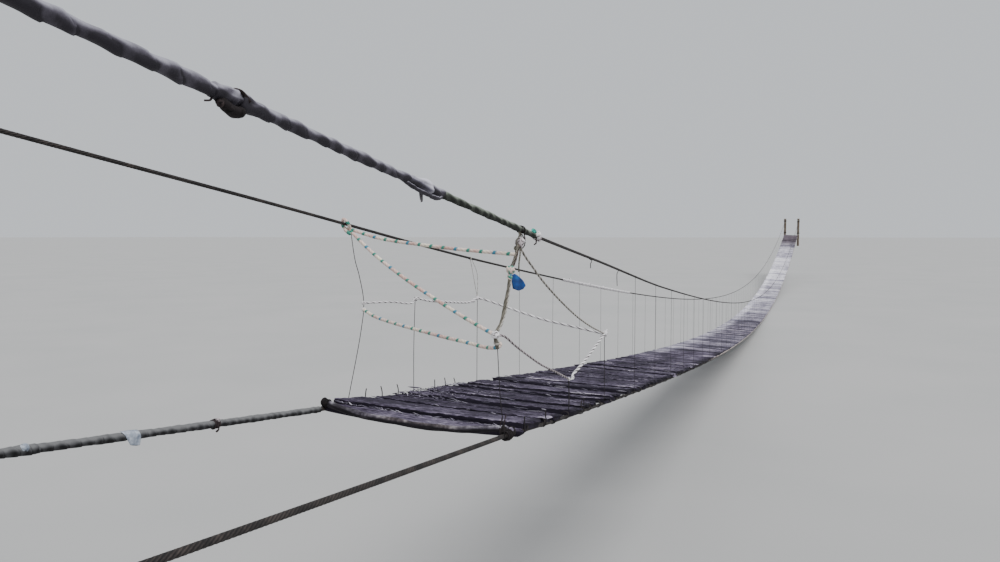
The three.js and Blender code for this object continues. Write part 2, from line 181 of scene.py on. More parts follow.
FLOOR_REACH, FLOOR_GAP = 900, 0.012
low = cad_box[0].z - FLOOR_GAP
corners = [(x * FLOOR_REACH, y * FLOOR_REACH, low) for x, y in ((-1, -1), (1, -1), (1, 1), (-1, 1))]
floor_mesh = bpy.data.meshes.new("floor")
floor_mesh.from_pydata(corners, [], [(0, 1, 2, 3)])
floor = bpy.data.objects.new("floor", floor_mesh)
floor_mesh.materials.append(finish("pale_plaster_floor", plaster))
bpy.context.scene.collection.objects.link(floor)
floor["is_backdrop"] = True

world = bpy.data.worlds.new("studio")
world.use_nodes = True
world.node_tree.nodes["Background"].inputs["Color"].default_value = colour("#dfe3e8")
world.node_tree.nodes["Background"].inputs["Strength"].default_value = 0.95
bpy.context.scene.world = world
sun = bpy.data.objects.new("soft_light", bpy.data.lights.new("soft_light", "SUN"))
sun.data.energy, sun.data.angle = 3.0, math.radians(45)
sun.rotation_euler = (math.radians(28), math.radians(-14), 0.0)
bpy.context.scene.collection.objects.link(sun)


# surfaces from arrays
def unit(vectors):
    """The same directions at length 1: each vector divided by its length."""
    return vectors / np.maximum(np.linalg.norm(vectors, axis=-1, keepdims=True), 1e-12)


def lengths(path):
    """Distance along each path of (..., rows, 3) points."""
    steps = np.linalg.norm(np.diff(path, axis=-2), axis=-1)
    return np.concatenate([np.zeros_like(steps[..., :1]), np.cumsum(steps, -1)], -1)


def even(path, count):
    """The same open path as count points that are an even distance apart."""
    path = np.asarray(path, float)
    far = lengths(path)
    want = np.linspace(0, far[-1], count)
    return np.stack([np.interp(want, far, line) for line in path.T], -1)


def square_to(path, lean=(0.0, 0.0, 1.0)):
    """Two directions square to a path and to each other: its side, and its top, which leans as lean does."""
    tangent = unit(np.gradient(path, axis=-2))
    side = unit(np.cross(np.broadcast_to(lean, path.shape), tangent))
    return side, np.cross(tangent, side)


def rings(path, size, angle, lean=(0.0, 0.0, 1.0)):
    """Points round each path: the path, plus size times (cosine of angle along its side + sine along its
    top)."""
    side, top = square_to(path, lean)
    out = np.cos(angle)[:, None] * side[..., None, :] + np.sin(angle)[:, None] * top[..., None, :]
    return path[..., None, :] + size[..., None] * out


def route(points, step):
    """A smooth path through [x, across, up] points: a centripetal Catmull-Rom curve, resampled evenly."""
    p = at(*np.array(points, float).T)
    p = np.concatenate([[2 * p[0] - p[1]], p, [2 * p[-1] - p[-2]]])
    knots = np.concatenate([[0], np.cumsum(np.linalg.norm(np.diff(p, axis=0), axis=1) ** 0.5)])
    k = np.arange(1, len(p) - 2)[:, None]
    t = knots[k] + (knots[k + 1] - knots[k]) * np.linspace(0, 1, 24)

    def between(a, b, i, j):
        """The mix of a, at knot i, and b, at knot j, that lies at t between them."""
        span = knots[j] - knots[i]
        return ((knots[j] - t) / span)[..., None] * a + ((t - knots[i]) / span)[..., None] * b

    a1, a2, a3 = (between(p[i], p[i + 1], i, i + 1) for i in (k - 1, k, k + 1))
    b1, b2 = between(a1, a2, k - 1, k + 1), between(a2, a3, k, k + 2)
    path = between(b1, b2, k, k + 1).reshape(-1, 3)
    return even(path, max(3, int(round(lengths(path)[-1] / step)) + 1))


def skin(material, grid, u, v, ring=True, closed=True, **layers):
    """One surface from a (..., rows, columns, 3) grid. Rows run along it and columns round it; closed ends
    get a pole. u is the distance along in metres, one for each row, and v the place round, one more than the
    columns for a ring."""
    grid = grid.reshape(-1, *grid.shape[-3:])
    count, rows, columns = shape = grid.shape[:3]
    u = np.broadcast_to(u, (count, rows))
    layers = {key: np.broadcast_to(a, shape) if np.ndim(a) < 3 else np.asarray(a).reshape(shape)
              for key, a in layers.items()}
    spans = columns if ring else columns - 1
    i, j = np.meshgrid(np.arange(rows - 1), np.arange(spans), indexing="ij")
    cell = [(i, j), (i, j + 1), (i + 1, j + 1), (i + 1, j)]
    corner = np.stack([a * columns + b % columns for a, b in cell], -1).reshape(-1, 4)
    base = np.arange(count)[:, None, None] * (rows * columns)
    quads = (corner + base).reshape(-1, 4)
    quad_uv = [np.stack([u[:, a], np.broadcast_to(v[b], u[:, a].shape)], -1) for a, b in cell]
    quad_uv = np.stack(quad_uv, -2).reshape(-1, 2)
    co, tris, tri_uv = grid.reshape(-1, 3), np.zeros((0, 3), int), np.zeros((0, 2))
    values = {key: a.reshape(-1) for key, a in layers.items()}
    if closed:
        j = np.arange(columns)
        first = len(co) + 2 * np.arange(count)[:, None]
        start, end = base[:, :, 0], base[:, :, 0] + (rows - 1) * columns
        at_start = np.stack(np.broadcast_arrays(first, start + (j + 1) % columns, start + j), -1)
        at_end = np.stack(np.broadcast_arrays(first + 1, end + j, end + (j + 1) % columns), -1)
        tris = np.concatenate([at_start.reshape(-1, 3), at_end.reshape(-1, 3)])
        ends = np.concatenate([np.repeat(u[:, 0], columns), np.repeat(u[:, -1], columns)])
        around = np.stack([v[j], v[j + 1], v[j]], -1).ravel()
        tri_uv = np.stack([np.repeat(ends, 3), np.tile(around, 2 * count)], -1)
        co = np.concatenate([co, np.stack([grid[:, 0].mean(1), grid[:, -1].mean(1)], 1).reshape(-1, 3)])
        poles = {key: np.stack([a[:, 0].mean(1), a[:, -1].mean(1)], 1).ravel() for key, a in layers.items()}
        values = {key: np.concatenate([a, poles[key]]) for key, a in values.items()}
    if closed and ring:  # the first ring's volume tells whether its faces point outwards
        first = quads[: (rows - 1) * spans]
        p = co[first] - co[first].mean((0, 1))
        if np.einsum("ij,ij->", p[:, 0], np.cross(p[:, 1], p[:, 2]) + np.cross(p[:, 2], p[:, 3])) < 0:
            quads, quad_uv = quads[:, ::-1], quad_uv.reshape(-1, 4, 2)[:, ::-1].reshape(-1, 2)
            tris, tri_uv = tris[:, ::-1], tri_uv.reshape(-1, 3, 2)[:, ::-1].reshape(-1, 2)
    return {"material": material, "co": co, "quads": quads, "tris": tris, "uv": (quad_uv, tri_uv),
            "layers": values}


def tube(material, path, columns, radius, lean=(0.0, 0.0, 1.0), **layers):
    """A ring carried along each path. radius is a number, or a function of distance along and angle round
    that also returns layers. lean is the direction that the ring's angle of 90 degrees leans to."""
    far, angle = lengths(path), 2 * np.pi * np.arange(columns) / columns
    if callable(radius):
        radius, found = radius(far[..., None], angle)
        layers = {**found, **layers}
    size = np.broadcast_to(np.asarray(radius, float), far.shape + (columns,))
    return skin(material, rings(path, size, angle, lean), far, np.arange(columns + 1) / columns, **layers)


def piece(name, skins, stands_for=(), sharp=None):
    """Joins skins into one object at the origin, which rides on the root body."""
    co = np.concatenate([s["co"] for s in skins])
    starts = np.cumsum([0] + [len(s["co"]) for s in skins[:-1]])
    materials = list(dict.fromkeys(s["material"] for s in skins))
    faces = [(found + start, uv, materials.index(s["material"])) for s, start in zip(skins, starts)
             for found, uv in zip((s["quads"], s["tris"]), s["uv"]) if len(found)]
    loops = np.concatenate([found.ravel() for found, _, _ in faces])
    sizes = np.concatenate([np.full(len(found), found.shape[1]) for found, _, _ in faces])
    owners = np.concatenate([np.full(len(found), owner) for found, _, owner in faces])
    mesh = bpy.data.meshes.new(name)
    mesh.vertices.add(len(co))
    mesh.vertices.foreach_set("co", co.astype(np.float32).ravel())
    mesh.loops.add(len(loops))
    mesh.loops.foreach_set("vertex_index", loops.astype(np.int32))
    mesh.polygons.add(len(sizes))
    mesh.polygons.foreach_set("loop_start", (np.cumsum(sizes) - sizes).astype(np.int32))
    for material in materials:
        mesh.materials.append(material)
    mesh.polygons.foreach_set("material_index", owners.astype(np.int32))
    uvs = np.concatenate([uv for _, uv, _ in faces])
    mesh.uv_layers.new(name="lay").data.foreach_set("uv", uvs.astype(np.float32).ravel())
    for key in sorted(set(k for s in skins for k in s["layers"])):
        values = np.concatenate([s["layers"].get(key, np.zeros(len(s["co"]))) for s in skins])
        mesh.attributes.new(key, "FLOAT", "POINT").data.foreach_set("value", values.astype(np.float32))
    mesh.update(calc_edges=True)
    mesh.validate()
    mesh.polygons.foreach_set("use_smooth", np.ones(len(sizes), bool))
    if sharp is not None:
        mesh.set_sharp_from_angle(angle=math.radians(sharp))
    made = bpy.data.objects.new(name, mesh)
    bpy.context.scene.collection.objects.link(made)
    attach(made, "root")
    if stands_for:
        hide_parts(*stands_for)
    return made


# patterns that several finishes have
def streaks(tree, place, stretch, detail, roughness):
    """Noise drawn out along a surface: place times stretch, looked up at scale 1."""
    drawn = add(tree, "VectorMath", [place, stretch], operation="MULTIPLY")
    return add(tree, "TexNoise", {"Vector": drawn, "Scale": 1.0, "Detail": detail, "Roughness": roughness})


def upper_side(tree, low, high):
    """How far a face looks up: a smooth step of its normal's height from low to high."""
    height = add(tree, "SeparateXYZ", [add(tree, "NewGeometry")])
    return add(tree, "MapRange", {"Value": height, "From Min": low, "From Max": high},
               interpolation_type="SMOOTHSTEP")


# wood
def weathered_boards(tree):
    """Split hardwood left bare to rain and sun: violet-grey on top, near black on its sides, soaked wood
    and painted shade there, streaked along the grain."""
    board, tone, worn, silver, rot = (
        add(tree, "Attribute", attribute_name=name) for name in ("board", "tone", "worn", "silver", "rot"))
    own = add(tree, "CombineXYZ", {"Z": add(tree, "Math", [board, 53.0], operation="MULTIPLY")})
    place = add(tree, "VectorMath", [add(tree, "UVMap", uv_map="lay"), own], operation="ADD")
    # streaks of 100 x 16 mm, coarser than the real grain, which would not show at this slant,
    # flecks of 17 x 9 mm, and damp patches of 590 x 170 mm, over several boards
    streak = streaks(tree, place, (10.0, 62.0, 1.0), 6.0, 0.78)
    fleck = streaks(tree, place, (60.0, 110.0, 1.0), 4.0, 0.7)
    patch = streaks(tree, add(tree, "TexCoord"), (1.7, 6.0, 1.7), 5.0, 0.68)
    mixed = -1.55
    for layer, share in ((tone, 1.0), (worn, 0.1), (patch, 1.0), (fleck, 0.9), (streak, 1.2)):
        mixed = add(tree, "Math", [layer, share, mixed], operation="MULTIPLY_ADD")
    # palettes for the tops, mixed by silver: the dark one at the entry and the pale one up the far rise,
    # partly weathering and partly painted light, shade at the entry and sky light and sheen up the rise
    wet_and_shaded_top = add(tree, "ValToRGB", [mixed],
              [(0.1, "#15111d"), (0.38, "#383041"), (0.62, "#6c6477"), (0.95, "#b9b0bf")])
    dry_and_sky_lit = add(tree, "ValToRGB", [mixed],
              [(0.1, "#69657a"), (0.4, "#a8a4b4"), (0.65, "#d9d6e1"), (0.9, "#f5f3f8")])
    brown = add(tree, "ValToRGB", [mixed], [(0.1, "#281f26"), (0.5, "#463b44"), (0.9, "#6a5d66")])
    # the sides: near black, soaked wood and painted shade, the shadow that falls on the boards' sides
    wet_and_shaded_side = add(tree, "ValToRGB", [streak], [(0.3, "#0e0b14"), (0.7, "#231d2b")])
    top = add(tree, "Mix", {"Factor": silver, "A": wet_and_shaded_top, "B": dry_and_sky_lit}, data_type="RGBA")
    top = add(tree, "Mix", {"Factor": rot, "A": top, "B": brown}, data_type="RGBA")
    half = add(tree, "Math", [silver, 0.5], operation="MULTIPLY")
    side = add(tree, "Mix", {"Factor": half, "A": wet_and_shaded_side, "B": dry_and_sky_lit}, data_type="RGBA")
    # faces that look less up than the tops take the sides' colour, so the painted shade follows the normal
    tint = add(tree, "Mix", {"Factor": upper_side(tree, 0.55, 0.85), "A": side, "B": top}, data_type="RGBA")
    height = add(tree, "Math", [fleck, 0.5, streak], operation="MULTIPLY_ADD")
    bump = add(tree, "Bump", {"Strength": 0.7, "Distance": 0.003, "Height": height})
    return {"Base Color": tint, "Roughness": 0.88, "Specular IOR Level": 0.2, "Normal": bump}


def trunk_bark(tree):
    """Unpeeled trunk posts: grey-brown ridged bark with lichen, and growth rings where they are sawn."""
    place, cut = add(tree, "TexCoord"), add(tree, "Attribute", attribute_name="cut")
    # ridges of 17 x 110 mm, lichen spots of 70 mm, and growth rings 5 mm apart
    ridge = streaks(tree, place, (60.0, 60.0, 9.0), 6.0, 0.6)
    lichen = add(tree, "TexNoise", {"Vector": place, "Scale": 14.0, "Detail": 5.0})
    bark = add(tree, "ValToRGB", [ridge], [(0.3, "#2e2722"), (0.55, "#6b5d50"), (0.8, "#94877a")])
    patch = add(tree, "MapRange", {"Value": lichen, "From Min": 0.56, "From Max": 0.66})
    tint = add(tree, "Mix", {"Factor": patch, "A": bark, "B": colour("#8f9384")}, data_type="RGBA")
    growth = add(tree, "TexWave", {"Vector": place, "Scale": 60.0, "Distortion": 3.0}, output="Fac",
                 wave_type="RINGS", rings_direction="Z")
    wood = add(tree, "ValToRGB", [growth], [(0.0, "#7d6c58"), (1.0, "#a8967e")])
    tint = add(tree, "Mix", {"Factor": cut, "A": tint, "B": wood}, data_type="RGBA")
    bump = add(tree, "Bump", {"Strength": 0.8, "Distance": 0.004, "Height": ridge})
    return {"Base Color": tint, "Roughness": 0.95, "Normal": bump}


def crooked_pole(tree):
    """A peeled branch, near black underneath, soaked wood in painted shade, paler along its top, bleached
    wood with a painted highlight, and brown with old bark in the middle."""
    middle, bleach = (add(tree, "Attribute", attribute_name=name) for name in ("middle", "bleach"))
    # grain of 71 mm by a seventh of the way round, 8 mm, and patches of 26 mm
    grain = streaks(tree, add(tree, "UVMap", uv_map="lay"), (14.0, 7.0, 1.0), 6.0, 0.7)
    patch = add(tree, "TexNoise",
                {"Vector": add(tree, "TexCoord"), "Scale": 38.0, "Detail": 5.0, "Roughness": 0.65})
    pale = add(tree, "ValToRGB", [patch],
               [(0.34, "#39343d"), (0.5, "#77717c"), (0.6, "#a9a4af"), (0.7, "#dcd9dd")])
    brown = add(tree, "ValToRGB", [patch], [(0.34, "#262126"), (0.5, "#585053"), (0.66, "#a0989a")])
    top = add(tree, "Mix", {"Factor": middle, "A": pale, "B": brown}, data_type="RGBA")
    under = add(tree, "ValToRGB", [grain], [(0.3, "#08070b"), (0.7, "#211c22")])
    # the top, bleached wood with a painted highlight, against the near-black underside, painted shade
    lit = add(tree, "Math", [bleach, 0.35], operation="SUBTRACT")
    share = add(tree, "Math", [grain, 0.7, lit], operation="MULTIPLY_ADD", use_clamp=True)
    tint = add(tree, "Mix", {"Factor": share, "A": under, "B": top}, data_type="RGBA")
    bump = add(tree, "Bump", {"Strength": 0.8, "Distance": 0.002, "Height": grain})
    return {"Base Color": tint, "Roughness": 0.85, "Specular IOR Level": 0.25, "Normal": bump}


# steel, windings and ropes
LAYS_IN_A_METRE, SIX_STRANDS = 16.0, 37.7  # a lay of about 60 mm, and six crossings in each turn


def rusted_strand(tree):
    """Six-strand steel wire rope, long out of grease: brown rust with dark hollows and a little olive
    dirt."""
    lay, silver = add(tree, "UVMap", uv_map="lay"), add(tree, "Attribute", attribute_name="silver")
    along, around = (add(tree, "SeparateXYZ", [lay], output=name) for name in ("X", "Y"))
    turn = add(tree, "Math", [along, LAYS_IN_A_METRE, around], operation="MULTIPLY_ADD")
    strand = add(tree, "Math", [add(tree, "Math", [turn, SIX_STRANDS], operation="MULTIPLY")],
                 operation="SINE")
    # clouds of rust of 29 mm
    rust = add(tree, "TexNoise",
               {"Vector": add(tree, "TexCoord"), "Scale": 34.0, "Detail": 5.0, "Roughness": 0.7})
    deep = add(tree, "Math", [strand, 0.12, rust], operation="MULTIPLY_ADD")
    dark = add(tree, "ValToRGB", [deep], [(0.3, "#110f0f"), (0.5, "#241f1e"), (0.74, "#443b37")])
    pale = add(tree, "ValToRGB", [deep], [(0.3, "#7e7470"), (0.6, "#b3a9a4"), (0.8, "#cfc6c0")])
    tint = add(tree, "Mix", {"Factor": silver, "A": dark, "B": pale}, data_type="RGBA")
    bump = add(tree, "Bump", {"Strength": 0.7, "Distance": 0.0008, "Height": strand})
    return {"Base Color": tint, "Roughness": 0.75, "Metallic": 0.25, "Normal": bump}


def rusted_tie_wire(tree):
    """Drawn soft iron wire with a brown rust skin."""
    # clouds of rust of 17 mm
    rust = add(tree, "TexNoise", {"Vector": add(tree, "TexCoord"), "Scale": 60.0, "Detail": 4.0})
    tint = add(tree, "ValToRGB", [rust], [(0.35, "#131112"), (0.6, "#272122"), (0.8, "#3d3433")])
    return {"Base Color": tint, "Roughness": 0.85, "Metallic": 0.15}


def wound_strip(name, under, body, dust_and_highlight, roughness=0.7):
    """Strips wound round a cable with lapped edges: dusty, paler on top with a painted highlight, and near
    black underneath and under each lap, which is painted shade.
    """
    def build(tree):
        place, lay = add(tree, "TexCoord"), add(tree, "UVMap", uv_map="lay")
        lap, turn = (add(tree, "Attribute", attribute_name=name) for name in ("lap", "turn"))
        # fibres of 4 mm by a ninth of the way round, and dusty patches of 33 mm
        fibre = streaks(tree, lay, (240.0, 9.0, 1.0), 4.0, 0.7)
        patch = add(tree, "TexNoise", {"Vector": place, "Scale": 30.0, "Detail": 5.0, "Roughness": 0.65})
        # crown: how far a face looks up, for a painted highlight on the upper side and painted shade below
        crown = upper_side(tree, -0.35, 0.85)
        # the strip's own dusty patches and fibres, plus painted light: the crown's highlight, highlights
        # across each turn and painted shade under each lap
        worn = -0.25
        for layer, share in ((patch, 0.5), (fibre, 0.3), (crown, 0.8), (turn, 1.0), (lap, -0.35)):
            worn = add(tree, "Math", [layer, share, worn], operation="MULTIPLY_ADD")
        tint = add(tree, "ValToRGB", [worn], [(0.08, under), (0.4, body), (0.9, dust_and_highlight)])
        height = add(tree, "Math", [patch, 0.8, fibre], operation="MULTIPLY_ADD")
        bump = add(tree, "Bump", {"Strength": 0.6, "Distance": 0.0012, "Height": height})
        return {"Base Color": tint, "Roughness": roughness, "Specular IOR Level": 0.25, "Normal": bump}
    return finish(name, build)


def laid_rope(name, shade, body, light, dirt):
    """Twisted rope: strands pale on their crowns and dark in the grooves, which is painted shade, with dirty
    spots and fine yarns along each strand."""
    def build(tree):
        place, groove = add(tree, "TexCoord"), add(tree, "Attribute", attribute_name="groove")
        # yarns of 2.4 mm by a fourteenth of the way round, coarser than the real ones, which would not
        # show, and dirt is how many dirty spots a metre has
        yarn = streaks(tree, add(tree, "UVMap", uv_map="lay"), (420.0, 14.0, 1.0), 3.0, 0.7)
        soil = add(tree, "TexNoise", {"Vector": place, "Scale": dirt, "Detail": 4.0, "Roughness": 0.65})
        # paler on the crowns, darker in the grooves by painted shade and at dirty spots
        clean_and_lit = 0.0
        for layer, share in ((groove, -0.75), (soil, 0.6), (yarn, 0.35)):
            clean_and_lit = add(tree, "Math", [layer, share, clean_and_lit], operation="MULTIPLY_ADD")
        tint = add(tree, "ValToRGB", [clean_and_lit], [(0.05, shade), (0.38, body), (0.68, light)])
        bump = add(tree, "Bump", {"Strength": 0.5, "Distance": 0.0006, "Height": yarn})
        return {"Base Color": tint, "Roughness": 0.85, "Specular IOR Level": 0.25, "Normal": bump}
    return finish(name, build)


def tracer_rope(tree):
    """Laid polypropylene rope: two cream-pink strands and a third that changes from green to blue."""
    groove, band, blue = (
        add(tree, "Attribute", attribute_name=name) for name in ("groove", "tracer", "blue"))
    # yarns of 2.4 mm by a sixteenth of the way round, drawn coarse as well, and dirt spots of 50 mm
    yarn = streaks(tree, add(tree, "UVMap", uv_map="lay"), (420.0, 16.0, 1.0), 3.0, 0.5)
    soil = add(tree, "TexNoise", {"Vector": add(tree, "TexCoord"), "Scale": 20.0, "Detail": 4.0})
    cream = add(tree, "ValToRGB", [soil], [(0.34, "#d3a99f"), (0.5, "#ecd5ca"), (0.66, "#f6ecd6")])
    dyed = add(tree, "Mix", {"Factor": blue, "A": colour("#2b8573"), "B": colour("#2c7f99")},
               data_type="RGBA")
    tint = add(tree, "Mix", {"Factor": band, "A": cream, "B": dyed}, data_type="RGBA")
    fuzz = add(tree, "Math", [yarn, 0.15], operation="MULTIPLY")
    shade = add(tree, "Math", [groove, 0.55, fuzz], operation="MULTIPLY_ADD", use_clamp=True)
    tint = add(tree, "Mix", {"Factor": shade, "A": tint, "B": colour("#57463f")}, data_type="RGBA")
    bump = add(tree, "Bump", {"Strength": 0.5, "Distance": 0.0006, "Height": yarn})
    return {"Base Color": tint, "Roughness": 0.6, "Normal": bump}


def blue_tarpaulin(tree):
    """Woven polyethylene tape, coated: a faint square weave, 2 mm a thread, and a soft plastic gloss."""
    weave = add(tree, "TexChecker", {"Vector": add(tree, "UVMap", uv_map="lay"), "Scale": 500.0},
                output="Fac")
    # creases of 17 mm
    crease = add(tree, "TexNoise", {"Vector": add(tree, "TexCoord"), "Scale": 60.0, "Detail": 3.0})
    # the colour follows the creases, darker in them: painted shade
    tint = add(tree, "ValToRGB", [crease], [(0.3, "#00265a"), (0.55, "#004188"), (0.75, "#0a66ae")])
    height = add(tree, "Math", [weave, 0.2, crease], operation="MULTIPLY_ADD")
    bump = add(tree, "Bump", {"Strength": 0.3, "Distance": 0.0005, "Height": height})
    return {"Base Color": tint, "Roughness": 0.5, "Normal": bump}


def sack_film(name, shade, body, light):
    """Thin polyethylene sacking, creased and dusty."""
    def build(tree):
        place = add(tree, "TexCoord")
        # creases of 14 mm
        crease = add(tree, "TexNoise", {"Vector": place, "Scale": 70.0, "Detail": 4.0, "Roughness": 0.6})
        tint = add(tree, "ValToRGB", [crease], [(0.3, shade), (0.5, body), (0.7, light)])
        bump = add(tree, "Bump", {"Strength": 0.6, "Distance": 0.001, "Height": crease})
        return {"Base Color": tint, "Roughness": 0.45, "Normal": bump}
    return finish(name, build)


BOARDS = finish("weathered_hardwood_boards", weathered_boards)
BARK = finish("trunk_post_bark", trunk_bark)
POLE = finish("peeled_branch_pole", crooked_pole)
STEEL = finish("rusted_wire_rope", rusted_strand)
TIE = finish("rusted_tie_wire", rusted_tie_wire)
RUBBER = wound_strip("wound_inner_tube_strip", "#2a272e", "#514d57", "#97959f")
CUFF = wound_strip("dusty_inner_tube_cuff", "#2a272e", "#5b5865", "#c6c4ce")
MOSSY = wound_strip("mossy_inner_tube_strip", "#1e211d", "#434740", "#7c8378", 0.75)
SACKING = wound_strip("wound_sacking_strip", "#171718", "#434345", "#6b6b6c", 0.85)
WHITE = laid_rope("dirty_white_nylon_rope", "#39322f", "#d2ced0", "#f8f6f7", 18.0)
GREY = laid_rope("grey_sisal_rope", "#29261f", "#58544b", "#8a867b", 24.0)
OLIVE = laid_rope("olive_twisted_cord", "#28251e", "#9a958e", "#cdc8bf", 30.0)
PINKISH = laid_rope("faded_pinkish_cord", "#2c2728", "#9a9193", "#cdc3c6", 30.0)
TARRED = laid_rope("tarred_binding_twine", "#050404", "#120e0f", "#272022", 40.0)
BROWN = laid_rope("brown_binding_twine", "#0f0b0b", "#251d1f", "#4f4341", 40.0)
JUTE = laid_rope("brown_jute_rope", "#1c1715", "#4a403b", "#766a63", 30.0)
TRACER = finish("cream_tracer_rope", tracer_rope)
TEAL = laid_rope("turquoise_polypropylene_cord", "#0b3f3c", "#1c8f80", "#4cc0ad", 30.0)
TARP = finish("blue_tarpaulin_rag", blue_tarpaulin)
FILM = sack_film("pale_sack_film", "#5f6878", "#9199a6", "#c0c7d0")
DUSTY = sack_film("dusty_sack_film", "#39363a", "#696569", "#9b979d")


# profiles, knots and windings
def strands(radius, count, pitch, depth, notch=0.1):
    """Profile of a laid rope: a circle with a cusped hollow between strands, which turn once in each pitch.
    Notch is how much of each hollow is dark with painted shade."""
    def profile(far, angle):
        wave = np.abs(np.cos(count * (angle / 2 - np.pi * far / pitch)))
        return radius * (1 - depth * (1 - wave)), {"groove": ease(wave, notch + 0.25, notch)}
    return profile


def strand(material, points, thick, count=2, pitch=0.02, depth=0.25, step=0.002, columns=10, notch=0.1):
    """A thin laid cord through a few points."""
    return tube(material, route(points, step), columns, strands(thick, count, pitch, depth, notch))


def tracer(radius, pitch=0.041):
    """The same for three strands, with the dyed one wound out over the others once in each pitch: a slightly
    slanted band, a little proud, green or every few turns blue-green."""
    def profile(far, angle):
        wave = np.abs(np.cos(1.5 * (2 * np.pi * far / pitch - angle)))
        turn = far / pitch - 0.04 * np.sin(angle)
        band = ease(np.abs((turn % 1.0) - 0.5), 0.145, 0.105)
        blue = np.isin(np.floor(turn) % 10, (2, 5, 9)) * 1.0
        groove = (1 - wave) ** 2 * (1 - band) * 0.7
        size = radius * (1 - 0.13 * (1 - wave) * (1 - band) + 0.05 * band)
        return size, {"groove": groove, "tracer": band, "blue": blue}
    return profile


def lapped(radius, pitch, lip, seed, lumps=0.0006):
    """Profile of a wound strip: the radius grows across each turn and drops at its lapped edge, which
    wanders; turns differ in slack and in tone, and the whole swells here and there."""
    rng, turns = np.random.default_rng(seed), 400
    a, b, c = rng.uniform(0, 6.28, 3)
    slack, shade = rng.normal(0, 0.35, turns), rng.normal(0, 0.06, turns)

    def profile(far, angle):
        swell = np.sin(far * 31 + a) + np.sin(far * 73 + 2 * angle + b)
        swell = swell + 0.6 * np.sin(far * 141 - 3 * angle + c)
        wander = 0.12 * np.sin(far * 47 + b) + 0.05 * np.sin(far * 120 + 2 * angle + a)
        turn = far / pitch - angle / (2 * np.pi) + wander + 20
        part, index = turn % 1.0, np.floor(turn).astype(int) % turns
        size = radius + lip * (part - 0.6) * (1 + slack[index]) + lumps * swell
        # each turn's own tone at random, plus a painted highlight that sweeps across each turn from its lap;
        # lap marks the painted shade under each lap edge
        tone = shade[index] + 0.15 * np.cos(2 * np.pi * (part - 0.2))
        return size, {"lap": np.clip(1 - part * 7, 0, 1), "turn": tone}
    return profile


def wound(material, run, x0, x1, columns, radius, pitch, lip, seed, lumps=0.0006):
    """A wound stretch of cable. Its rows are a pitch divided by its columns apart, so laps cross them
    evenly."""
    path = run_path(run, x0, x1, pitch / columns)
    return tube(material, path, columns, lapped(radius, pitch, lip, seed, lumps))


def knot(material, point, size, thick, turns, seed, stretch=1.0, columns=7, profile=None):
    """A ball of turns: a great circle that tips as it goes round, so that its turns cross, stretched
    upwards."""
    rng = np.random.default_rng(seed)
    t = np.linspace(0, 2 * np.pi * turns, int(turns * 18))
    tip = rng.uniform(0, 3) + t * rng.uniform(0.27, 0.42)
    spin = rng.uniform(0, 3) + t * 0.11
    x, y, z = np.cos(t), np.sin(t) * np.cos(tip), np.sin(t) * np.sin(tip)
    ring = np.stack([x * np.cos(spin) - y * np.sin(spin), x * np.sin(spin) + y * np.cos(spin), z], -1)
    swell = 1 - 0.18 * np.abs(np.sin(t * 0.5 + seed))
    path = at(*point) + ring * ((size - thick) * swell)[:, None] * np.array([1.0, 1.0, stretch])
    return tube(material, path, columns, profile or strands(thick, 2, thick * 6, 0.15), lean=ring)


def coil(material, path, turns, reach, thick, columns=6, profile=None, wobble=0.0, seed=0):
    """Turns wound round a path: a helix that wanders a little from even. Its reach is one value, or one for
    each end."""
    t = np.linspace(0, 1, max(16, int(turns * 14)))
    centre = even(path, len(t))
    side, top = square_to(centre)
    a = np.random.default_rng(seed).uniform(0, 6)
    turn = 2 * np.pi * turns * t + wobble * np.sin(t * turns * 2.1 + a)
    out = np.cos(turn)[:, None] * side + np.sin(turn)[:, None] * top
    reach = np.interp(t, (0, 1), np.broadcast_to(reach, 2)) * (1 + 0.3 * wobble * np.sin(t * turns * 5.3 + a))
    return tube(material, centre + reach[:, None] * out, columns, profile or thick, lean=out)


def strip(material, points, width, thick, twist, seed):
    """A loose strip: a flat ring carried along a smooth path, turning as it goes, with its edge wandering."""
    path = route(points, 0.003)
    far = lengths(path)
    turn = twist * far / far[-1]
    side, top = square_to(path)
    a, b = np.random.default_rng(seed).uniform(0, 6, 2)

    def profile(far, angle):
        wide = width / 2 * (1 + 0.15 * np.sin(far * 130 + a) + 0.1 * np.sin(far * 310 + b))
        return 1 / np.sqrt((np.cos(angle) / wide) ** 2 + (np.sin(angle) / thick) ** 2), {}
    return tube(material, path, 12, profile, lean=np.cos(turn)[:, None] * top + np.sin(turn)[:, None] * side)


def flare(material, run, x0, x1, r0, r1, seed, pale):
    """A collar: a wound end that opens out like a cuff, with a ragged mouth, and turns in at its lip."""
    path = run_path(run, x0, x1, (x1 - x0) / 14)
    a, b = np.random.default_rng(seed).uniform(0, 6, 2)

    def profile(far, angle):
        part = far / far.max()
        lip = part > 0.93
        mouth = r1 * (1 + 0.12 * np.sin(2 * angle + a) + 0.07 * np.sin(5 * angle + b))
        size = r0 + (mouth - r0) * part**1.5
        size = size * (1 + 0.05 * np.sin(3 * angle + 9 * part + b) + 0.03 * np.sin(7 * angle - 5 * part))
        tone = -0.15 + pale * part**2 + 0.1 * np.sin(4 * angle + 6 * part + a)
        # the turned-in lip is marked as a lap, so it takes the painted shade of a lap edge
        return np.where(lip, size * 0.8, size), {"turn": tone, "lap": 0.8 * lip + 0 * size}
    return tube(material, path, 22, profile)


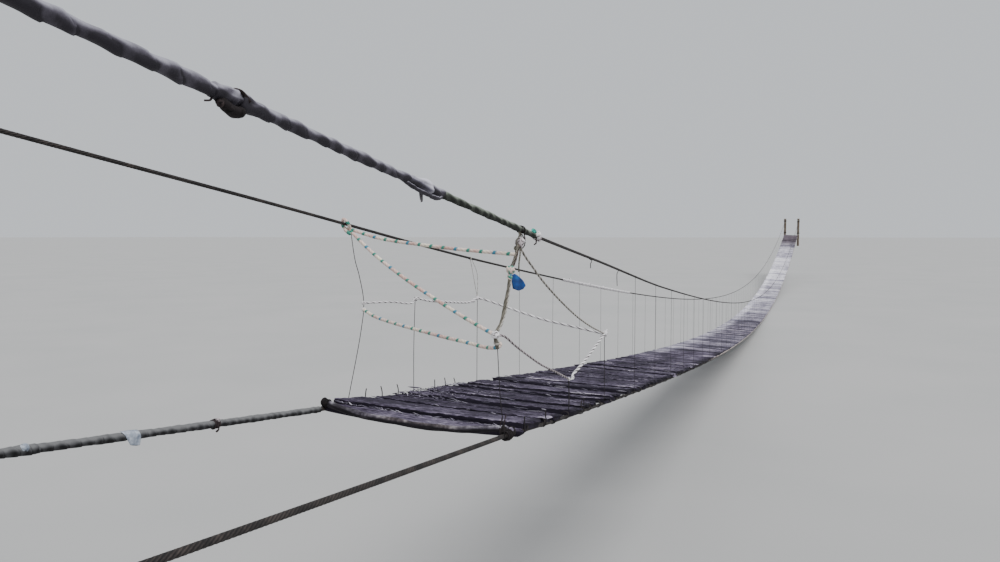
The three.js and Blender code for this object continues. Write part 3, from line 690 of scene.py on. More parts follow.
# deck boards
# front edge at mid-width, width, height of the front and of the back edge,
# how much further on the right end lies, how pale
NEAR_BOARDS = np.array([
    (0.018, 0.038, -0.0085, -0.0045, 0.05, 0.24), (0.0595, 0.1565, 0.008, 0.003, 0.07, 0.06),
    (0.2515, 0.091, 0.003, 0.001, 0.05, 0.02), (0.3525, 0.072, 0.001, -0.001, 0.06, 0.00),
    (0.477, 0.1325, 0.004, -0.001, 0.12, 0.03), (0.647, 0.1155, 0.004, 0.001, 0.10, 0.04),
    (0.7745, 0.090, 0.001, -0.001, 0.12, 0.05), (0.9315, 0.0785, 0.003, 0.000, 0.16, -0.02),
    (1.062, 0.1035, 0.004, 0.001, 0.18, 0.06), (1.1705, 0.099, 0.001, -0.001, 0.18, 0.05),
    (1.3425, 0.0985, 0.005, 0.002, 0.20, -0.02), (1.446, 0.0935, 0.002, -0.001, 0.20, 0.02),
    (1.562, 0.1385, 0.004, 0.001, 0.20, 0.06), (1.7075, 0.1225, 0.001, 0.000, 0.19, 0.07),
    (1.837, 0.1225, 0.000, -0.001, 0.18, 0.00), (1.981, 0.0895, 0.002, 0.001, 0.17, 0.00),
    (2.0775, 0.092, 0.001, -0.001, 0.17, 0.02), (2.1855, 0.109, 0.001, -0.001, 0.16, -0.03),
    (2.306, 0.114, 0.002, 0.000, 0.16, 0.04), (2.428, 0.102, 0.000, 0.000, 0.15, 0.06),
    (2.538, 0.1165, 0.000, -0.001, 0.15, 0.00), (2.707, 0.1135, 0.004, 0.001, 0.14, 0.02),
    (2.8285, 0.101, 0.001, -0.001, 0.14, -0.02), (3.010, 0.105, 0.004, 0.001, 0.13, -0.08),
    (3.125, 0.100, 0.002, 0.001, 0.12, 0.04), (3.232, 0.115, 0.001, 0.000, 0.12, 0.05),
    (3.354, 0.100, 0.000, -0.001, 0.11, 0.00), (3.480, 0.122, 0.001, 0.001, 0.10, 0.04),
    (3.608, 0.118, 0.001, -0.001, 0.10, 0.02), (3.755, 0.110, 0.002, 0.000, 0.09, -0.04),
])
PITCH = 0.11
rng = np.random.default_rng(41)
far_front = np.arange(3.875, DECK_LENGTH - 0.07, PITCH)
n = len(far_front)
far_gap = 0.002 + 0.004 * rng.random(n) ** 2 + 0.012 * (rng.random(n) < 0.1)
far_rise = 0.0018 * rng.random(n) ** 2 + 0.002 * (rng.random(n) < 0.1)
far_boards = np.stack([
    far_front + rng.normal(0, 0.003, n), PITCH - far_gap, far_rise, far_rise - 0.0015 * rng.random(n),
    0.08 * (1 - ease(far_front, 4, 10)) + rng.normal(0, 0.006, n), np.zeros(n),
], -1)
NEAR_ROWS, FAR_ROWS = 110, 7
NEAR_RING = np.array([
    (-1, -0.6), (-1, 0.4), (-0.975, 0.86), *[(a, 1.0) for a in np.linspace(-0.93, 0.93, 10)],
    (0.975, 0.86), (1, 0.4), (1, -0.6), (0.9, -1), (-0.9, -1),
])
FAR_RING = np.array([(-1, -0.7), (-1, 0.6), (-0.93, 1), (0, 1), (0.93, 1), (1, 0.6), (1, -0.7), (0, -1)])
# x, how pale the boards are, how silvery: dark at the entry and bleached up the far rise, partly
# weathering and partly painted light, shade at the entry and sky light and sheen up the rise
WEATHER_AND_LIGHT = np.array([
    (0, 0.33, 0), (0.6, 0.31, 0), (1.0, 0.26, 0), (1.6, 0.25, 0), (2.4, 0.32, 0), (3.6, 0.36, 0),
    (4.8, 0.29, 0), (5.8, 0.29, 0), (6.7, 0.33, 0.12), (9, 0.34, 0.16), (11, 0.31, 0.06), (13, 0.33, 0.14),
    (15, 0.38, 0.33), (19, 0.51, 0.67), (22.2, 0.45, 0.58), (25, 0.65, 0.86), (27, 0.58, 0.79),
    (31, 0.55, 0.77), (32.4, 0.40, 0.70),
])
SUNNY = np.array([  # x, how much more of that at the left edge, and towards the right edge
    (0.3, 0, 0), (0.4, 0.1, 0.05), (4, 0.1, 0.05), (6, 1.0, 0.07), (8, 0.55, 0.03), (11, 0.9, 0.06),
    (17, 0.9, 0), (22, 0.8, 0.07), (25, 0.7, -0.03), (31, 0, -0.06),
])


def waves(rng, boards, share, size, tight=1.0):
    """A wandering offset along each board: sine waves of falling size with random phases."""
    turns = np.array([0.7, 1.6, 3.1, 6.3, 11.0, 19.0])[:, None, None] * tight
    phase = rng.uniform(0, 2 * np.pi, (6, boards, 1))
    turns = turns * rng.uniform(0.8, 1.2, (6, boards, 1))
    falling = np.array([1, 1.5, 2.6, 5, 9, 12])[:, None, None]
    return size * (np.sin(np.pi * turns * share + phase) / falling).sum(0)


def board_layers(x, share, cx, cz, pale, rng):
    """How pale, silvery, worn and rotten each point is, for boards whose front edges are at x: tables along
    the bridge, more sun at the edges, and a random part for each board."""
    count, share = len(x), share[:, None]
    spread = 0.05 + 0.08 * ease(x, 3, 5) + 0.03 * ease(x, 9, 12)
    patchy = np.sin(x * 1.9 + 1) * np.sin(x * 0.83) * ease(x, 6, 9)
    tone = np.interp(x, WEATHER_AND_LIGHT[:, 0], WEATHER_AND_LIGHT[:, 1]) + pale
    tone = tone + rng.normal(0, 1, (count, 1, 1)) * spread + 0.06 * patchy
    tone = tone - 0.35 * (np.abs(x - 22.1) < 0.06) + 0.05 * ease(cx, 0.2, -0.9) * (1 - ease(x, 2, 4))
    split = 0.6 * (rng.random((count, 1, 1)) < 0.09)  # dark ends, a few freshly split
    tone = tone + (split - 0.25) * ease(-share, 0.91, 0.97) * (1 - ease(x, 5, 8))
    edge = ease(share, 0.25, 0.9) * np.interp(x, SUNNY[:, 0], SUNNY[:, 1])
    silver = np.interp(x, WEATHER_AND_LIGHT[:, 0], WEATHER_AND_LIGHT[:, 2]) + 0.6 * edge * ease(x, 4, 6)
    tone = tone + 0.16 * edge + ease(-share, 0.0, 0.6) * np.interp(x, SUNNY[:, 0], SUNNY[:, 2])
    tone = tone - 0.1 * share * (x < 0.3)
    scuffed = (rng.random((count, 1, 1)) < 0.35) * (x > 0.4) * ease(np.sin(share * 4.4 + x * 40), 0.0, 0.5)
    return {"tone": tone, "silver": np.clip(silver, 0, 1),
            "worn": (cx < -0.9) * (cz > 0.8) * (1 + 3 * scuffed),
            "rot": 0.95 * ease(x, 31.3, 33.6), "board": rng.random((count, 1, 1)) * np.ones_like(x)}


def board_mat(table, ring, rows, rng, bow=0.0):
    """Boards laid across the cables: a rounded rectangle carried from the right end to the left, with
    wandering edges, a hewn top and torn ends. Some lie askew, further on at the right end, which a half
    line, half cubic gives. Bow is how far the middle of the front edge reaches out."""
    count, columns, fine = len(table), len(ring), rows == NEAR_ROWS
    share = np.linspace(-1, 1, rows)
    share = np.sign(share) * np.abs(share) ** 0.85
    front, width, fore_up, back_up, skew, pale = (table[:, i, None] for i in range(6))
    turned = (1 - share) / 2
    turned = skew * (0.5 * turned + 0.5 * turned**3 - 0.3125)
    fore, back = (waves(rng, count, share, 0.003) for _ in range(2))
    bend, sink = waves(rng, count, share, 0.0035, 0.3), waves(rng, count, share, 0.0004, 0.6)
    overhang = rng.uniform(0, 1, (2, count, 1)) * 0.016 - 0.002
    nearly = 1 - 0.25 * (np.abs(share) > 0.995)  # each end is a little smaller
    cx, cz = ring[:, 0], ring[:, 1]
    x = (front + width / 2 + turned + bend)[..., None] + cx * (width / 2 * nearly)[..., None]
    x = x + np.where(cx < 0, fore[..., None], back[..., None])
    # broken off at the left near the entry
    short = 0.04 * ease(front, 0.0, 0.2) * (1 - ease(front, 0.45, 0.9))
    past = np.where(share > 0, overhang[0] - short, overhang[1])
    torn = rng.normal(0, 0.005, (count, 2, columns)) * fine
    torn = (np.roll(torn, 1, -1) + torn + np.roll(torn, -1, -1)) / 1.6
    torn = np.where(share[:, None] > 0, torn[:, :1], torn[:, 1:]) * ease(np.abs(share), 0.965, 1.0)[:, None]
    across = (share * (DECK_WIDTH / 2 + past))[..., None] + torn
    thick = (DECK_THICKNESS + np.maximum(fore_up, 0) + fine * rng.uniform(0.0, 0.005, (count, 1)))[..., None]
    reach = bow * (1 - share**2)[:, None] * (1 - cx) / 2
    x, proud = x - reach, fore_up[..., None] + (back_up - fore_up)[..., None] * (cx + 1) / 2 - 0.1 * reach
    hewn = 0.0008 * fine * rng.normal(0, 1, x.shape)
    hewn[:, 1:-1] = (hewn[:, :-2] + hewn[:, 1:-1] + hewn[:, 2:]) / 1.8
    uneven = (sink[..., None] + np.minimum(hewn, 0.0012)) * (cz > 0.5)
    up = proud - thick / 2 + cz * thick / 2 * nearly[:, None] + uneven
    layers = board_layers(front[..., None] + 0 * x, share, cx, cz, pale[..., None], rng)
    around = lengths(np.vstack([ring, ring[:1]]) * [0.05, 0.01])
    return skin(BOARDS, at(x, across, up), (share + 1) * DECK_WIDTH / 2, around, **layers)


def slivers(rng, x, across, length, thick, turn, up=0.001, silver=0.2):
    """Splinters of torn wood that lie on the boards: thin three-sided spindles, each along its own line."""
    s, n = np.linspace(-1, 1, 5), len(x)
    dx, dy = (way[:, None] * s * length[:, None] / 2 for way in (np.sin(turn), np.cos(turn)))
    lift = up + rng.uniform(0, 0.003, (n, 1)) * (1 + s * rng.choice([-1, 1], (n, 1)))
    size = (thick[:, None] * np.sqrt(np.maximum(1 - s**2, 0.02)))[..., None] * np.ones(3)
    grid = rings(at(x[:, None] + dx, across[:, None] + dy, lift), size, np.array([0.3, 2.4, 4.5]))
    one = np.ones(grid.shape[:3])
    tone = rng.normal(0.45 + 0.4 * silver, 0.14, (n, 1, 1)) * one
    board = rng.random((n, 1, 1)) * one
    return skin(BOARDS, grid, (s + 1) / 2 * 0.05, np.arange(4) / 30, tone=tone, silver=silver * one,
                board=board)


def near_splinters(rng):
    """Splinters on the near boards: all over, on the first board, where boards have broken up at the left
    edge, frayed ends that stand up there, and one long one."""
    def lot(x, across, length, thick, turn, *rest):
        """Splinters at these places: even draws of length and thickness, and a normal draw of their turn."""
        n = len(x)
        return slivers(rng, x, across, rng.uniform(*length, n), rng.uniform(*thick, n), rng.normal(*turn, n),
                       *rest)

    x, across = rng.uniform(0.1, 4.2, 260), rng.uniform(-0.27, 0.27, 260)
    lots = [lot(x, across, (0.015, 0.07), (0.0008, 0.0020), (0.12, 0.12))]
    across = rng.uniform(-0.25, 0.25, 70)
    x = rng.uniform(0.0, 0.02, 70) + 0.4 * across**2 - 0.012
    lots.append(lot(x, across, (0.006, 0.03), (0.0008, 0.0016), (0.1, 0.3), 0.003))
    x, across = rng.uniform(0.36, 0.72, 240), 0.266 - 0.19 * rng.random(240) ** 1.2
    lots.append(lot(x, across, (0.008, 0.026), (0.0010, 0.0024), (0.2, 0.8), 0.001, 0.05))
    x, across = rng.uniform(0.80, 0.95, 12), rng.uniform(0.235, 0.272, 12)
    lots.append(lot(x, across, (0.02, 0.04), (0.0010, 0.0018), (0.1, 0.2), 0.004, 0.7))
    return lots + [slivers(rng, *np.array([[0.545], [0.272], [0.062], [0.0030], [0.2]]), 0.007, 0.1)]


SECTIONS = 7
SECTION_LENGTH = DECK_LENGTH / SECTIONS
edges = [0.0] + [k * SECTION_LENGTH - BAY / 2 for k in range(1, SECTIONS)] + [DECK_LENGTH]
near_rng, far_rng = np.random.default_rng(7), np.random.default_rng(19)
for k in range(SECTIONS):
    mine = far_boards[(far_boards[:, 0] >= edges[k] - 0.05) & (far_boards[:, 0] < edges[k + 1] - 0.05)]
    skins = [board_mat(mine, FAR_RING, FAR_ROWS, far_rng)]
    if k == 0:
        skins.append(board_mat(NEAR_BOARDS[:1], NEAR_RING, NEAR_ROWS, near_rng, 0.036))
        skins.append(board_mat(NEAR_BOARDS[1:], NEAR_RING, NEAR_ROWS, near_rng))
        skins += near_splinters(near_rng)
    piece(f"deck_boards_{k + 1}", skins, [f"deck_section_{k + 1}"], sharp=38)


# first pole
POLE_BOW, POLE_DIP = 0.034, 0.021


def pole():
    """A branch that bows towards the near bank and dips, with swellings, paler along its top towards the
    left, bleached wood with a painted highlight."""
    share = np.linspace(-1, 1, 120)
    bend = 1 - share**2
    kink = 0.0012 * np.sin(share * 5.1 + 0.8) + 0.0008 * np.sin(share * 13)
    up = 0.0005 + 0.002 * (1 - share) - POLE_DIP * bend + kink * bend

    def profile(far, angle):
        lumps = 0.06 * np.sin(far * 21 + angle) + 0.05 * np.sin(far * 57 - 2 * angle)
        lumps = lumps + 0.03 * np.sin(3 * angle + far * 90)
        blunt = (1 - 0.35 * (np.abs(share) > 0.997))[:, None]
        size = (0.0088 + 0.0004 * share)[:, None] * (1 + lumps) * blunt
        pale = np.interp(share, (-1, -0.4, 0, 0.4, 0.5, 0.6, 0.84, 0.9),
                         (0.75, 0.6, 0.75, 0.65, 0.7, 0.15, 0.1, 1))
        pale = (pale * (1 - ease(share, 0.88, 0.93)))[:, None]
        # paler along the top: bleached wood with a painted highlight where light falls on it
        bleach = ease(np.sin(angle) + 0.35 * np.sin(far * 33) * np.sin(far * 12 + 2), 0.15, 0.75) * pale
        middle = (ease(share, -0.75, -0.4) * (1 - ease(share, 0.1, 0.5)))[:, None]
        return size, {"bleach": bleach, "middle": middle + 0 * angle}
    return tube(POLE, at(kink * bend - POLE_BOW * bend, share * DECK_WIDTH / 2, up), 22, profile)


left_end, right_end = (
    at(-POLE_BOW * (1 - s**2), s * DECK_WIDTH / 2, 0.001 - POLE_DIP * (1 - s**2))
    for s in (np.linspace(0.93, 0.995, 8), np.linspace(-0.99, -0.93, 8)))
piece("pole_end_lashing", [
    coil(TARRED, right_end - (0.0, 0.0, 0.004), 7, 0.0135, 0.0024, wobble=0.5, seed=81),
    coil(TARRED, run_path("cable_right", -0.02, 0.03, 0.004), 5, 0.0105, 0.0026, wobble=0.6, seed=82),
    strand(BROWN, [(-0.004, -0.256, -0.02), (-0.008, -0.258, 0.010), (-0.012, -0.266, 0.036)], 0.0014),
    strand(BROWN, [(0.002, -0.262, -0.02), (0.006, -0.263, 0.012), (0.012, -0.266, 0.038)], 0.0014),
])
piece("crooked_first_pole", [
    pole(), coil(TARRED, left_end, 4.5, 0.0095, 0.0032, 8, strands(0.0032, 2, 0.02, 0.15), 0.3, 5),
], ["first_pole"])


# posts, windings and cables
def post(x, sign, seed):
    """A trunk: a ring carried upwards, ridged by waves that run up it, flat at its foot and sawn at its
    top."""
    low = float(line_up(x))
    high = low + POST_HEIGHT
    y = float(line_across(x)) + sign * POST_ACROSS + POST_ACROSS
    z = np.concatenate([[low], np.linspace(low + 0.002, high - 0.004, 60), [high]])
    path = np.stack([0 * z + x + NEAR_RUN, 0 * z + y, z], -1)
    a, b = np.random.default_rng(seed).uniform(0, 6, 2)

    def profile(far, angle):
        top = far > POST_HEIGHT - 0.0005
        ridge = 0.5 * np.sin(9 * angle + 3 * np.sin(far * 9 + a))
        ridge = ridge + 0.5 * np.sin(17 * angle - 4 * np.sin(far * 6 + b))
        size = 0.0478 + 0.0012 * ridge + 0.0008 * np.sin(2 * angle + far * 4 + a)
        return np.where(top, size * 0.93, size), {"cut": top + 0 * angle}
    return tube(BARK, path, 44, profile, lean=(0.0, 1.0, 0.0))


def post_turns(material, x, run, thick, profile=None):
    """Turns of cable round a post: a helix of its own thickness in pitch."""
    across, up = RUNS[run]
    y = float(line_across(x)) + math.copysign(POST_ACROSS, across) + POST_ACROSS
    count = max(2, int(0.022 / thick))
    t = np.linspace(0, 2 * np.pi * count, count * 40)
    reach = POST_RADIUS + thick
    rise = (t / t[-1] - 0.5) * 2 * thick * count * 0.98
    path = np.stack([reach * np.cos(t), reach * np.sin(t), rise], -1)
    path = np.array([x + NEAR_RUN, y, at(x, across, up(x))[2]]) + path
    return tube(material, path, 10, profile or strands(thick, 6, 0.06, 0.12))


for i, (x, sign, name) in enumerate((
        (NEAR_X, 1, "near_post_left"), (NEAR_X, -1, "near_post_right"),
        (FAR_X, 1, "far_post_left"), (FAR_X, -1, "far_post_right"))):
    piece(name + "_trunk", [post(x, sign, i)], [name])

TURNS_REACH = 0.0605  # the cables start past the turns round their posts


def beside(run, x, left=0.0, above=0.0):
    """A point near a cable: so far to its left and above its middle."""
    across, up = RUNS[run]
    return x, across + left, float(up(x)) + above


def track(run, *points):
    """A few such points, for a cord or strip that follows a cable."""
    return [beside(run, *point) for point in points]


piece("wound_handrail_right", [
    wound(RUBBER, "rail_right", NEAR_X + TURNS_REACH, -1.028, 20, 0.0092, 0.047, 0.0016, 3),
    flare(RUBBER, "rail_right", -1.038, -1.000, 0.0100, 0.0124, 45, 0.45),
    wound(RUBBER, "rail_right", -1.010, -0.975, 16, 0.0062, 0.016, 0.0010, 44),
    flare(RUBBER, "rail_right", -0.950, -0.991, 0.0090, 0.0130, 50, -0.1),
    wound(RUBBER, "rail_right", -0.965, -0.462, 20, 0.0086, 0.045, 0.0013, 4),
    wound(MOSSY, "rail_right", -0.45, RAIL_WRAP_END, 18, 0.0078, 0.044, 0.0009, 5, 0.0005),
    flare(CUFF, "rail_right", -0.540, -0.449, 0.0086, 0.0160, 51, 0.6),
    wound(RUBBER, "rail_right", -0.452, -0.392, 20, 0.0092, 0.070, 0.0026, 53, 0.0010),
    strip(RUBBER, track(
        "rail_right", (-0.545, -0.002, -0.008), (-0.515, -0.004, -0.0125), (-0.46, -0.005, -0.0150),
        (-0.415, -0.004, -0.0135), (-0.395, -0.002, -0.0075)), 0.010, 0.0030, 0.9, 46),
    strip(TARRED, track(
        "rail_right", (-1.028, 0.0, -0.006), (-1.022, -0.004, -0.0135), (-1.008, -0.004, -0.0170),
        (-0.996, -0.003, -0.0160), (-0.987, 0.0, -0.011), (-0.984, 0.0, -0.002)), 0.015, 0.0065, 0.9, 47),
    knot(TARRED, beside("rail_right", -1.016, -0.006, -0.0165), 0.0078, 0.0040, 3, 56),
    knot(BROWN, beside("rail_right", -1.030, -0.004, -0.0135), 0.0062, 0.0034, 3, 57),
    knot(TARRED, beside("rail_right", -0.997, -0.006, -0.0150), 0.0080, 0.0042, 3, 58),
    strip(BROWN, track(
        "rail_right", (-1.012, 0.0, 0.0085), (-1.000, -0.006, 0.0115), (-0.990, -0.008, 0.0085),
        (-0.984, -0.009, 0.000)), 0.008, 0.0014, 0.6, 49),
    strip(BROWN, track(
        "rail_right", (-1.035, 0.004, -0.008), (-1.045, -0.002, -0.015), (-1.054, -0.002, -0.018)),
        0.003, 0.0012, 0.5, 48),
    post_turns(RUBBER, NEAR_X, "rail_right", 0.0085, lapped(0.0085, 0.03, 0.001, 6)),
], ["handrail_right_near"])
piece("wound_deck_cable_left", [
    wound(SACKING, "cable_left", NEAR_X + TURNS_REACH, -0.872, 18, 0.0090, 0.022, 0.0012, 10, 0.0004),
    wound(SACKING, "cable_left", -0.88, CABLE_WRAP_END, 18, 0.0084, 0.026, 0.0009, 8, 0.0003),
    knot(FILM, beside("cable_left", -0.895, -0.003, 0.005), 0.0095, 0.0040, 3, 52),
    post_turns(SACKING, NEAR_X, "cable_left", 0.0095, lapped(0.0095, 0.04, 0.001, 9)),
], ["deck_cable_left_near"])
for name, run, end, radius, pitch, node in (
        ("bare_handrail_left", "rail_left", 0.0, RAIL_RADIUS, 0.055, "handrail_left_near"),
        ("bare_deck_cable_right", "cable_right", CABLE_WRAP_END, CABLE_RADIUS, 0.065,
         "deck_cable_right_near")):
    piece(name, [
        tube(STEEL, run_path(run, NEAR_X + TURNS_REACH, end, 0.004), 18, strands(radius, 6, pitch, 0.14)),
        post_turns(STEEL, NEAR_X, run, radius),
    ], [node])


def hangers(x, sign, rng):
    """Hanger wires, each looped over its handrail and under its deck cable: a thin square tube along few
    points."""
    upper, lower = np.array([2.6, 1.2, -0.2, -1.4]), np.array([0.6, -0.6, -1.7, -2.9])
    r_over, r_under = RAIL_RADIUS + 0.001, CABLE_RADIUS + 0.001
    step, share = 0.003 * np.arange(4), np.array([0.12, 0.35, 0.6, 0.85])
    sway = rng.normal(0, 0.004, (len(x), 1)) * np.sin(np.pi * share)
    col, rail = x[:, None], RUNS["rail_left" if sign > 0 else "rail_right"][1](x)[:, None]
    path = np.concatenate([
        at(col + step - 0.006, sign * RAIL_ACROSS + r_over * np.cos(upper), rail + r_over * np.sin(upper)),
        at(col + sway, sign * RAIL_ACROSS, rail * (1 - share) + CABLE_UP * share),
        at(col + step, sign * (CABLE_ACROSS + r_under * np.cos(lower)), CABLE_UP + r_under * np.sin(lower)),
    ], 1)
    return tube(TIE, path, 4, 0.0008, lean=(1.0, 0.0, 0.0))


def far_cables(k, name, sign):
    """One stretch of one side: handrail and deck cable, with their hangers. The right deck cable, bleached
    from 5 m on, lies there a little outside the board ends."""
    last = k == SECTIONS - 1
    start, end = edges[k], FAR_X - TURNS_REACH if last else edges[k + 1]
    rail_start = start if k else (0.0 if sign > 0 else RAIL_WRAP_END)
    step, columns = (0.02, 12) if k == 0 else (0.1, 8)
    rail = run_path("rail_" + name, rail_start, end, step)
    cable = run_path("cable_" + name, start if k else CABLE_WRAP_END, end, step)
    x = cable[:, 0] - NEAR_RUN
    if sign < 0:
        aside = ease(x, 4.0, 5.6) * (1 - ease(x, FAR_X - 1.2, FAR_X - 0.4))
        cable = cable + aside[:, None] * [0, -0.011, 0.009]
    silver = ease(x, 4.6, 6.0)[:, None] * (1.0 if sign < 0 else 0.3) + np.zeros(columns)
    skins = [tube(STEEL, rail, columns, RAIL_RADIUS),
             tube(STEEL, cable, columns, CABLE_RADIUS, silver=silver[None])]
    x = np.minimum(np.arange(3, 64) * BAY, DECK_LENGTH - 0.01)
    skins.append(hangers(x[(x > start) & (x < end)], sign, np.random.default_rng(100 + 10 * k + sign)))
    if last:
        skins.append(post_turns(STEEL, FAR_X, "rail_" + name, RAIL_RADIUS))
        skins.append(post_turns(STEEL, FAR_X, "cable_" + name, CABLE_RADIUS))
    return skins


def board_ties(sign, rng):
    """Wire that ties each near board to its cable: a loop and a half round the board end and the cable."""
    near = NEAR_BOARDS[:, 0] + NEAR_BOARDS[:, 1] / 2 - sign * NEAR_BOARDS[:, 3] / 2
    x = np.concatenate([near, np.arange(3.92, 6.5, PITCH)])
    x = x + rng.normal(0, 0.01, len(x))
    t, snug = np.linspace(-2.0, 7.5, 22), 0.0074
    up = RUNS["cable_left" if sign > 0 else "cable_right"][1](x)[:, None]
    wide, tall = rng.uniform(0.008, 0.013, (len(x), 1)), rng.uniform(0.011, 0.014, (len(x), 1))
    if sign > 0:  # hugging the cable where the board ends have gone
        bare = (x < 0.75)[:, None]
        wide, tall = np.where(bare, snug, wide), np.where(bare, snug, tall)
    lift = np.clip((tall - snug) * 2, 0, 0.006)
    along = x[:, None] + rng.normal(0, 0.004, (len(x), 1)) * np.sin(t) + 0.0012 * t
    path = at(along, sign * (CABLE_ACROSS - 0.001) + sign * wide * np.cos(t), up + lift + tall * np.sin(t))
    return tube(TIE, path, 5, 0.0013, lean=(1.0, 0.0, 0.0))


# broken hangers and tie wires near the entry
LEFT, RIGHT = RAIL_ACROSS, -RAIL_ACROSS


def over(side, *points):
    """Points on one handrail's line: x, height above the board tops and, where it isn't 0, how far to the
    left."""
    return [(x, side + sum(left), up) for x, up, *left in points]


def wire(points, thick=0.0012):
    """A wire through a few points."""
    return tube(TIE, route(points, 0.006), 6, thick, lean=(1.0, 0.0, 0.2))


def stub(x, sign, rng):
    """The cut end of a tie wire, standing up from the cable past the board ends."""
    side = sign * (DECK_WIDTH / 2 + 0.003)
    lean = rng.normal(0, 0.004, 2)
    foot = (x, side - sign * 0.008, CABLE_UP - 0.007)
    top = (x + lean[0], side + lean[1], rng.uniform(0.022, 0.029))
    return wire([foot, (x, side, CABLE_UP), (x + lean[0] / 2, side, 0.008), top], 0.0018)


STUBS = {1: (0.23, 0.335, 0.44, 0.72, 0.81, 0.90), -1: (0.12, 0.31, 0.71, 0.75)}
BROKEN = {
    1: [wire(over(LEFT, (0.152, 0.5105), (0.178, 0.411), (0.200, 0.368), (0.225, 0.285), (0.208, 0.203),
                  (0.126, CABLE_UP)))],
    -1: [wire(over(RIGHT, (x - 0.004, 0.511, 0.004), (x, 0.505, -0.005), (x + 0.001, 0.495),
                   (x + 0.003, end)), 0.0014)
         for x, end in ((0.828, 0.479), (1.264, 0.443))],
}
wire_rng = np.random.default_rng(77)
for k in range(SECTIONS):
    for sign, name in ((1, "left"), (-1, "right")):
        skins = far_cables(k, name, sign)
        if k == 0:
            stubs = [stub(x, sign, wire_rng) for x in STUBS[sign]]
            skins += stubs + [board_ties(sign, wire_rng)] + BROKEN[sign]
        piece(f"{name}_cables_{k + 1}", skins, [f"{name}_side_{k + 1}"])

# ropes
UPRIGHT_TOP, UPRIGHT_KNOT, LOWER_KNOT, UPRIGHT_FOOT, CORD_END, HANGER_KNOT = over(
    RIGHT, (0.070, 0.478), (0.012, 0.405), (-0.092, 0.240), (-0.078, 0.208), (1.050, 0.249), (0.556, 0.103))
LOOP, WIRE_KNOT, CORD_START, CORD_KNOT_1, CORD_KNOT_2 = over(
    LEFT, (0.140, 0.500), (0.223, 0.266), (0.223, 0.286), (0.565, 0.314), (1.125, 0.344))
UPRIGHT = [UPRIGHT_KNOT, *over(RIGHT, (0.000, 0.361), (-0.024, 0.319), (-0.052, 0.271)), LOWER_KNOT,
           UPRIGHT_FOOT]

piece("entry_upright", [
    strand(GREY, over(RIGHT, (0.058, 0.474, -0.003), (0.046, 0.455, -0.004), (0.026, 0.430, -0.004))
           + [UPRIGHT_KNOT], 0.0020, 2, 0.03),
    strand(JUTE, over(RIGHT, (0.070, 0.474), (0.060, 0.455), (0.042, 0.430)) + [UPRIGHT_KNOT],
           0.0050, 3, 0.05, 0.12),
    strand(GREY, over(RIGHT, (0.078, 0.474, -0.002), (0.074, 0.452, -0.004), (0.066, 0.428, -0.004),
                      (0.066, 0.404, -0.003)), 0.0022, 2, 0.014),
    strand(BROWN, over(RIGHT, (0.096, 0.512), (0.090, 0.498, 0.004)) + [UPRIGHT_TOP], 0.0022),
    strand(GREY, over(RIGHT, (0.080, 0.516), (0.084, 0.497, -0.003)) + [UPRIGHT_TOP], 0.0020),
    strand(BROWN, over(RIGHT, (0.118, 0.508), (0.112, 0.490, -0.004), (0.098, 0.480, -0.004), (0.085, 0.478)),
           0.0018),
    strand(BROWN, over(RIGHT, (0.100, 0.505), (0.116, 0.484, -0.003), (0.106, 0.470)) + [UPRIGHT_TOP],
           0.0016),
    strand(GREY, over(RIGHT, (0.072, 0.512), (0.066, 0.497, -0.004), (0.058, 0.482), (0.062, 0.470)), 0.0018),
    coil(TARRED, run_path("rail_right", 0.080, 0.102, 0.004), 4.2, 0.0088, 0.0012, wobble=0.5, seed=61),
    tube(GREY, route(UPRIGHT, 0.002), 18, strands(0.0046, 3, 0.078, 0.1, 0.0)),
    strand(OLIVE, over(RIGHT, (0.010, 0.392, -0.005), (-0.012, 0.345, -0.005), (-0.040, 0.292, -0.0055),
                       (-0.084, 0.25, -0.005)), 0.0019, 2, 0.03),
    wire([UPRIGHT_FOOT, *over(RIGHT, (-0.059, 0.087), (-0.027, CABLE_UP))], 0.0010),
    knot(PINKISH, (0.080, RIGHT, 0.480), 0.0130, 0.0034, 4, 2, 1.35),
    knot(GREY, (0.058, RIGHT, 0.464), 0.008, 0.0028, 3, 22),
    knot(WHITE, (0.088, RIGHT - 0.006, 0.486), 0.008, 0.0028, 3, 25),
    knot(TRACER, UPRIGHT_KNOT, 0.0125, 0.0042, 4, 3, 1.2, 8, tracer(0.0042, 0.03)),
    knot(TRACER, (0.008, RIGHT, 0.386), 0.0085, 0.0032, 3, 23, 1.3, 8, tracer(0.0032, 0.03)),
    knot(WHITE, LOWER_KNOT, 0.0115, 0.004, 4, 4),
    knot(OLIVE, (-0.086, RIGHT, 0.222), 0.0075, 0.0026, 3, 24, 1.4),
], ["entry_upright_rope"])


def striped(*points):
    """The striped rope through a few points."""
    return tube(TRACER, route(points, 0.0022), 18, tracer(0.0048))


